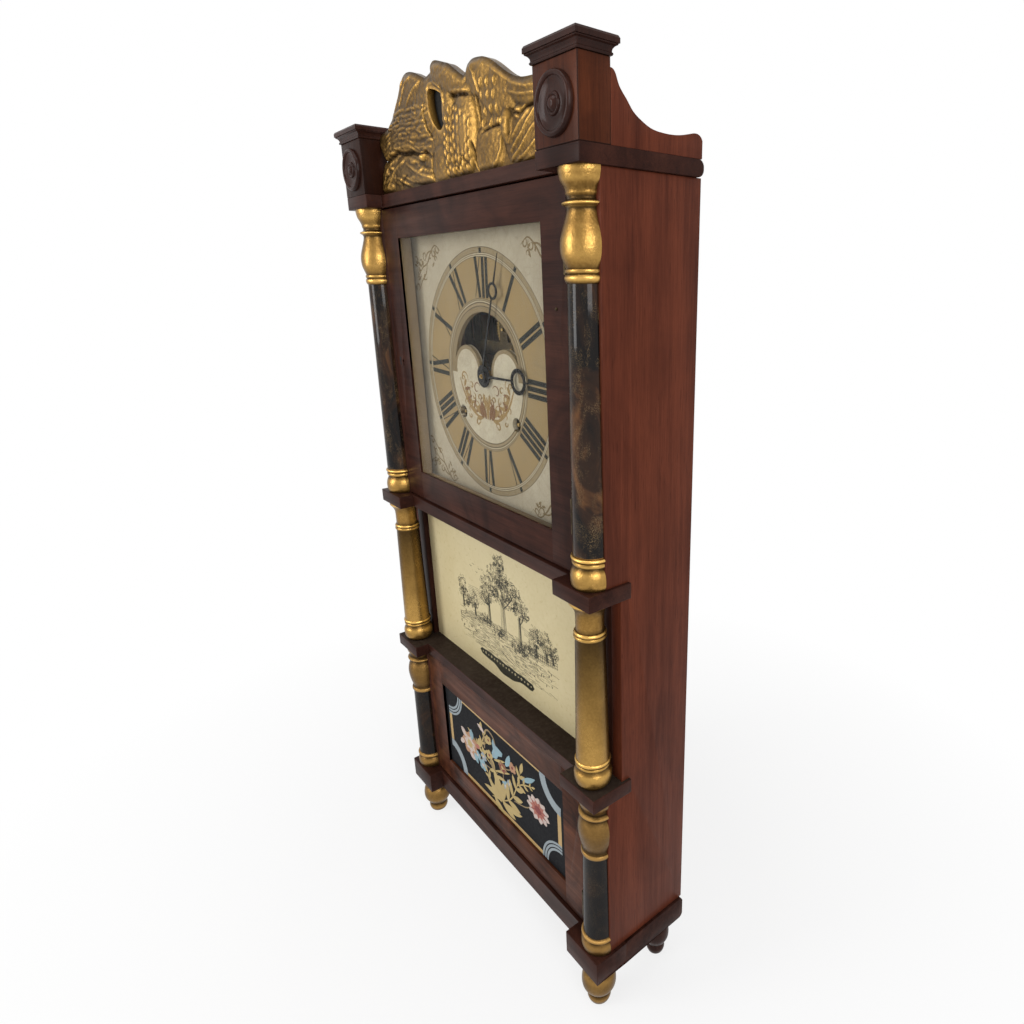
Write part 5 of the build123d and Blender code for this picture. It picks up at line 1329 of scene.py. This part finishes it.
def paint_middle():
    """An engraved country scene over a plain black ribbon."""
    painting = Painting("tablet_engraving", "middle_tablet")
    chance = random.Random(23)
    curl = 2.6

    def line(points, width):
        painting.stroke(points, width, "engraving_ink")

    # Foliage from short curled strokes, thicker on its right side
    for x, z, half_x, half_z, count in (
        (-9, 465, 12, 13, 70), (-14, 446, 26, 14, 120), (12, 438, 26, 14, 120), (-34, 428, 24, 14, 100),
        (33, 420, 19, 14, 90), (-2, 422, 30, 12, 110), (-46, 411, 15, 12, 60), (-105, 404, 11, 15, 60),
        (-94, 390, 11, 11, 50), (-75, 392, 10, 15, 50), (64, 399, 13, 14, 70), (84, 396, 12, 16, 70),
        (98, 392, 9, 12, 45), (27, 368, 20, 9, 80), (54, 378, 14, 9, 50), (-48, 376, 14, 8, 46),
        (-20, 372, 16, 6, 40),
    ):
        for _ in range(count):
            angle, reach = chance.uniform(0, 2 * math.pi), chance.uniform(0, 1) ** 0.6
            px, pz = x + half_x * reach * math.cos(angle), z + half_z * reach * math.sin(angle)
            heavy = 0.30 + 0.30 * (px > x + half_x * 0.1) + 0.22 * (pz < z)
            start = chance.uniform(0, 360)
            leaf = scroll(px, pz, curl * chance.uniform(0.6, 1.2), start, 230, 0.6, 7)
            line(leaf, heavy * chance.uniform(0.8, 1.2))
    # Trunks and branches
    for x, z0, z1, wide in (
        (-5, 368, 424, 9), (-38, 372, 414, 5), (31, 372, 410, 5), (-104, 374, 392, 3.5), (-74, 372, 384, 3),
        (64, 374, 388, 3.5), (84, 374, 386, 3.5), (97, 376, 386, 3),
    ):
        for share in (-0.5, -0.2, 0.05, 0.25, 0.5):
            aside = share * wide
            bark = [(x + aside * 1.4, z0), (x + aside, (z0 + z1) / 2), (x + aside * 0.7, z1)]
            line(bark, 0.8 if share > 0 else 0.45)
    for branch in (
        [(-5, 412), (-16, 423), (-28, 430)], [(-3, 408), (9, 419), (20, 432)],
        [(-4, 420), (-8, 440), (-9, 456)], [(-37, 398), (-44, 404), (-50, 410)],
        [(31, 398), (38, 408), (42, 416)],
    ):
        line(smooth_line(branch, 4), 1.3)
    # Hills, meadow, bank and fence
    for row in range(9):
        rise = 404 - row * 2.4
        hill = [
            (x, rise + 9 * math.sin((x + 130) / 46.0) + chance.uniform(-0.4, 0.4)) for x in range(-88, 104, 8)
        ]
        line(hill[: 9 - row // 2], 0.3)
        line(hill[15 + row // 2:], 0.3)
    for row in range(44):
        height = 380 - row * 1.12
        x, end = -116 + chance.uniform(0, 50), 100 - chance.uniform(0, 60)
        while x < end:
            span = chance.uniform(6, 24)
            line([
                (x, height + chance.uniform(-1, 1)), (x + span / 2, height + chance.uniform(-0.6, 1.4)),
                (x + span, height + chance.uniform(-1, 1)),
            ], chance.uniform(0.18, 0.42))
            x += span + chance.uniform(3, 12)
    for row in range(5):
        bank = [(-116, 362 - row * 3), (-96, 370 - row * 2), (-60, 374 - row), (-44, 376 - row)]
        line(smooth_line(bank, 4), 0.4)
    for post in range(14):
        x = 52 + post * 4.0
        line([(x, 369 + post * 0.3), (x + 0.3, 378 + post * 0.3)], 0.6)
    for rail in (371, 374.5, 377.5):
        line([(50, rail), (78, rail + 1.6), (106, rail + 4)], 0.45)
    # Tufts of grass, and birds
    for _ in range(70):
        x, z = chance.uniform(-114, 98), chance.uniform(340, 372)
        for blade in (-1, 0, 1):
            line([(x, z), (x + blade * 1.4, z + chance.uniform(2.0, 4.0))], 0.3)
    for bird in range(5):
        x, z = -78 + bird * 7, 440 + 5 * math.sin(bird * 2.2)
        line([(x - 2.6, z + 1.2), (x - 1, z + 1.6), (x, z), (x + 1.2, z + 1.5), (x + 2.8, z + 0.9)], 0.4)
    # The ribbon and its lozenges
    middle = 326.0
    top, bottom = [], []
    for i in range(33):
        t = i / 32
        x = -68 + 124 * t
        round_end = math.sqrt(max(0.0, 1 - (2 * t - 1) ** 16))
        bulge = 6.5 * math.exp(-((x + 6) / 24.0) ** 4)
        top.append((x, middle + 5 * round_end + 0.5 * math.sin(x / 4.0)))
        bottom.append((x, middle - round_end * (5.5 + bulge) + 0.5 * math.sin(x / 5.0 + 1)))
    painting.plate([*top, *bottom[::-1]], "engraving_ink", 2)
    for place in range(17):
        odd = place % 2
        x, z, reach = -61 + place * 6.9, middle + odd * 0.5, 2.1 if odd else 1.3
        lozenge = [(x - reach, z), (x, z - reach * 0.9), (x + reach, z), (x, z + reach * 0.9)]
        painting.plate(lozenge, "tablet_cream", 3)
        if odd:
            painting.disc(x, z, 0.7, "engraving_ink", 4, sides=10)
    painting.done()


def flower(painting, x, z, radius, petals, outer, inner, heart, turn=0.0, high=0.86):
    """A full flower of lobed rings, with fine lines from its heart."""
    painting.disc(x, z, radius, outer, 4, high, 72, petals, 0.20, turn)
    painting.disc(x, z, radius * 0.66, inner, 5, high, 60, petals, 0.24, turn + 0.2)
    painting.disc(x, z, radius * 0.30, heart, 6, high, 24)
    for i in range(petals):
        angle = 2 * math.pi * i / petals + turn
        c, s = radius * math.cos(angle), radius * math.sin(angle) * high
        ray = [(x + share * c, z + share * s) for share in (0.3, 0.85)]
        painting.stroke(ray, [0.9, 0.4], inner if i % 2 else heart, 7)


def frond(painting, spine, pairs, length, level=2):
    """A gold stem with paired leaves that shorten towards its tip."""
    stem = smooth_line(spine)
    painting.swelled(stem, 2.0, "leaf_gold", level, 0.5)
    for pair in range(pairs):
        share = (pair + 0.6) / pairs
        place = min(len(stem) - 2, int(share * (len(stem) - 1)))
        (ax, az), (bx, bz) = stem[place], stem[place + 1]
        turn = math.degrees(math.atan2(bz - az, bx - ax))
        reach = length * (1.15 - 0.75 * share)
        for side in (-1, 1):
            lean, above = turn + side * (52 - 12 * share), level + 1 + (side > 0)
            painting.leaf(ax, az, reach, reach * 0.34, lean, "leaf_gold", above, -0.14 * side)
    painting.leaf(*stem[-1], length * 0.55, length * 0.2, turn, "leaf_gold", level + 1)


def posy(painting, x, z, radius, name, heart, turn):
    """A small flower of separate round petals."""
    petals = 5
    for i in range(petals):
        angle = 2 * math.pi * i / petals + turn
        px, pz = x + radius * 0.62 * math.cos(angle), z + radius * 0.56 * math.sin(angle)
        painting.disc(px, pz, radius * 0.46, name, 3 + i % 2, 0.9, 14)
    painting.disc(x, z, radius * 0.28, heart, 6, 0.9, 12)


def paint_lower():
    """A gold and blue border, and a spray of flowers."""
    painting = Painting("tablet_flowers", "lower_door_tablet")
    x0, x1, z0, z1 = -133.5, 131.0, 121.5, 246.0
    corner = 35.0
    broad = [(corner, 12.0)]
    triple = [(corner + away, 3.0) for away in (-4.5, 0.0, 4.5)]
    for x, z, start, bands in (
        (x0, z1, 270, triple), (x1, z1, 180, broad), (x0, z0, 0, broad), (x1, z0, 90, triple),
    ):
        for reach, width in bands:
            painting.stroke(scroll(x, z, reach, start, 90, 1.0, 17), width, "border_blue", 2)
    a0, a1, b0, b1 = x0 + corner + 5.5, x1 - corner - 5.5, z0 + corner + 5.5, z1 - corner - 5.5
    for ends, width in (
        ([(a0, z1 - 2.4), (a1, z1 - 2.4)], 4.8), ([(a0, z0 + 2.7), (a1, z0 + 2.7)], 5.4),
        ([(x0 + 3.4, b0), (x0 + 3.4, b1)], 6.8), ([(x1 - 3.5, b0), (x1 - 3.5, b1)], 7.0),
    ):
        painting.stroke(ends, width, "border_gold", 1)

    frond(painting, [(-26, 132), (0, 141), (22, 158), (36, 182), (48, 214)], 6, 34)
    frond(painting, [(40, 190), (54, 200), (72, 208)], 3, 15)
    frond(painting, [(-6, 140), (-22, 152), (-34, 164)], 2, 22)
    frond(painting, [(-8, 178), (-34, 186), (-60, 196), (-74, 204)], 4, 15, 1)
    frond(painting, [(-44, 182), (-44, 204), (-36, 222)], 3, 15, 1)
    for *leaf, bend in (
        # x, height, length, width, turn, material, bend
        (-2, 142, 42, 15, 112, "leaf_gold", 0.35), (2, 142, 30, 10, 74, "leaf_gold", -0.3),
        (-2, 142, 36, 10, 156, "leaf_gold", -0.3), (4, 140, 44, 9, 8, "leaf_gold", 0.25),
        (-2, 138, 44, 8, 178, "leaf_gold", 0.2), (10, 178, 26, 5, 196, "leaf_gold", 0.1),
        (22, 196, 40, 4, 205, "leaf_gold", 0.05), (-14, 196, 30, 4, 24, "leaf_gold", 0.05),
        (14, 204, 24, 9, 62, "petal_blue", 0.25), (52, 206, 34, 7, 32, "petal_blue", 0.1),
        (-36, 224, 18, 6, 160, "petal_pale", 0.2), (-46, 224, 14, 7, 78, "leaf_gold", 0.3),
        (-34, 212, 15, 10, 56, "leaf_gold", 0.3), (-52, 194, 16, 11, 70, "leaf_gold", -0.3),
        (-16, 176, 20, 8, 118, "scroll_faded", 0.2),
    ):
        painting.leaf(*leaf, 4, bend)
    for points, width in (
        ([(-38, 200), (-36, 224), (-26, 234), (-14, 230), (-10, 222)], 2.6),
        ([(-6, 142), (-14, 168), (-26, 188)], 1.5), ([(0, 142), (6, 170), (6, 196)], 1.5),
        ([(30, 160), (56, 168), (72, 180)], 1.5), ([(-20, 176), (-44, 174), (-66, 182)], 1.5),
        ([(6, 196), (22, 202), (32, 212)], 1.5),
    ):
        painting.stroke(smooth_line(points), width, "scroll_faded", 2)
    painting.plate([
        (-14, 228), (-9, 221), (8, 218), (6, 212), (-3, 208), (-8, 200), (-18, 198), (-19, 204), (-15, 212),
        (-17, 220),
    ], "petal_blue", 5)
    for points in ([(-13, 224), (-10, 214), (-16, 201)], [(-12, 224), (-4, 217), (4, 215)]):
        painting.stroke(smooth_line(points, 5), 1.0, "border_blue", 6)
    flower(painting, -78, 184, 22, 7, "petal_peach", "petal_pale", "leaf_gold", 0.3, 0.88)
    for leaf in (
        # x, height, length, width, turn, material
        (-88, 190, 16, 9, 140, "petal_pale"), (-72, 194, 16, 10, 92, "petal_blue"),
        (-66, 176, 15, 9, -60, "petal_blue"), (-94, 180, 13, 8, 210, "petal_pale"),
        (-80, 170, 16, 8, -20, "petal_pale"), (-62, 190, 12, 7, 20, "petal_rose"),
    ):
        painting.leaf(*leaf, 6, 0.2)
    flower(painting, 84, 183, 24, 11, "petal_pale", "petal_rose", "petal_dark", 0.2, 0.74)
    flower(painting, 6, 196, 10, 6, "scroll_rose", "petal_dark", "leaf_gold", 0.1)
    for small in (
        # x, height, radius, petals, heart, turn
        (-45, 169, 9, "petal_blue", "petal_pale", 0.2), (-42, 184, 7, "border_blue", "petal_pale", 0.7),
        (-58, 177, 7, "petal_blue", "petal_pale", 0.4), (11, 171, 8, "petal_blue", "petal_pale", 0.1),
        (21, 180, 6, "border_blue", "petal_pale", 0.8), (-26, 196, 8, "leaf_gold", "petal_dark", 0.3),
        (30, 210, 8, "petal_peach", "petal_dark", 0.5), (-26, 219, 7, "leaf_gold", "petal_dark", 0.9),
    ):
        posy(painting, *small)
    painting.done()


def door_fittings():
    """The keyhole, painted black as the shade in its opening, and a small pin on the upper door."""
    low, high, _ = box_of("upper_door_frame")
    x, z = 10 - high.x / mm, box_of("lock_bolt")[2].z / mm
    painting = Painting("upper_door_keyhole", "upper_door_frame")
    # The keyhole is a black shape on the door, painted shade where the opening would be dark
    painting.disc(x, z + 2.4, 2.3, "black_backing", 2)
    painting.plate(
        [(x - 1.0, z + 1.5), (x - 1.5, z - 5.0), (x + 1.5, z - 5.0), (x + 1.0, z + 1.5)], "black_backing", 1,
    )
    painting.done()
    pin_inset, pin_height = 17 * mm, 0.70
    place = Vector((high.x - pin_inset, low.y, low.z + pin_height * (high.z - low.z)))
    profile = turned_profile((-1.0, 1.5), [(0.4, 1.5)], [(0.9, 1.1), (1.1, 0.3)], steps=4)
    front_turnings("door_pin", "upper_door_frame", profile, [place], "dull_brass", 16)


paint_dial()
paint_middle()
paint_lower()
door_fittings()


def floor_and_backdrop():
    """A plain white floor that keeps the shadow, and a white world."""
    reach = 6.0
    white = (1.0, 1.0, 1.0, 1.0)
    mesh = bpy.data.meshes.new("floor")
    corners = [(-reach, -reach, 0), (reach, -reach, 0), (reach, reach, 0), (-reach, reach, 0)]
    mesh.from_pydata(corners, [], [(0, 1, 2, 3)])
    floor = bpy.data.objects.new("floor", mesh)
    bpy.context.scene.collection.objects.link(floor)
    shader = Shader("floor_white", Base_Color=(0.80, 0.80, 0.80, 1.0), Roughness=0.9)
    glow = shader.node("Emission", {"Color": white}).outputs[0]
    share = shader.ramp(shader.distance((0, 0, 0)), (0.30, 0.78), (0.85, 1.0))
    share = shader.calc("MULTIPLY", shader.rays("Camera", "Glossy", "Transmission"), share)
    shader.show(shader.blend(share, shader.surface.outputs[0], glow))
    mesh.materials.append(shader.material)

    world = bpy.data.worlds.new("studio")
    bpy.context.scene.world = world
    world.use_nodes = True
    sky = Nodes(world.node_tree)
    ambient = sky.tree.nodes["Background"]
    sky.feed(ambient.inputs["Color"], white)
    sky.feed(ambient.inputs["Strength"], 0.32)
    plain = sky.node("Background", {"Color": white, "Strength": 1.0}).outputs[0]
    seen = sky.rays("Camera", "Glossy", "Transmission")
    sky.show(sky.blend(seen, ambient.outputs[0], plain), "World Output")


def lamp(name, place, target, size, power):
    data = bpy.data.lights.new(name, "AREA")
    data.shape = "RECTANGLE"
    data.size, data.size_y = size
    data.energy = power
    thing = bpy.data.objects.new(name, data)
    thing.location = place
    thing.rotation_euler = (Vector(target) - Vector(place)).to_track_quat("-Z", "Y").to_euler()
    bpy.context.scene.collection.objects.link(thing)


def photograph_camera():
    """The camera that took the photograph."""
    data = bpy.data.cameras.new("photograph")
    data.sensor_width = sensor_width
    data.sensor_fit = "HORIZONTAL"
    data.lens = focal_pixels / photo_pixels * sensor_width
    data.shift_x = (photo_pixels / 2 - principal_pixels[0]) / photo_pixels
    data.shift_y = (principal_pixels[1] - photo_pixels / 2) / photo_pixels
    data.clip_start = 0.01
    ahead = Vector((
        -math.sin(camera_yaw) * math.cos(camera_pitch), math.cos(camera_yaw) * math.cos(camera_pitch),
        -math.sin(camera_pitch),
    ))
    level = Vector((math.cos(camera_yaw), math.sin(camera_yaw), 0.0))
    above = level.cross(ahead)
    c, s = math.cos(camera_roll), math.sin(camera_roll)
    right, up = level * c + above * s, above * c - level * s
    axes = Matrix((right, up, -ahead)).transposed()
    camera = bpy.data.objects.new("photograph", data)
    camera.matrix_world = Matrix.Translation(camera_place) @ axes.to_4x4()
    bpy.context.scene.collection.objects.link(camera)
    bpy.context.scene.camera = camera


floor_and_backdrop()
lamp("key", (1.75, -0.55, 1.25), (0.0, 0.0, 0.55), (0.9, 1.2), 19)
lamp("front", (-0.75, -1.9, 1.15), (0.0, 0.0, 0.55), (0.8, 1.4), 26)
lamp("top", (0.2, -0.2, 2.6), (0.0, 0.0, 0.6), (1.6, 1.6), 20)
photograph_camera()
bpy.context.scene.view_settings.view_transform = "Standard"
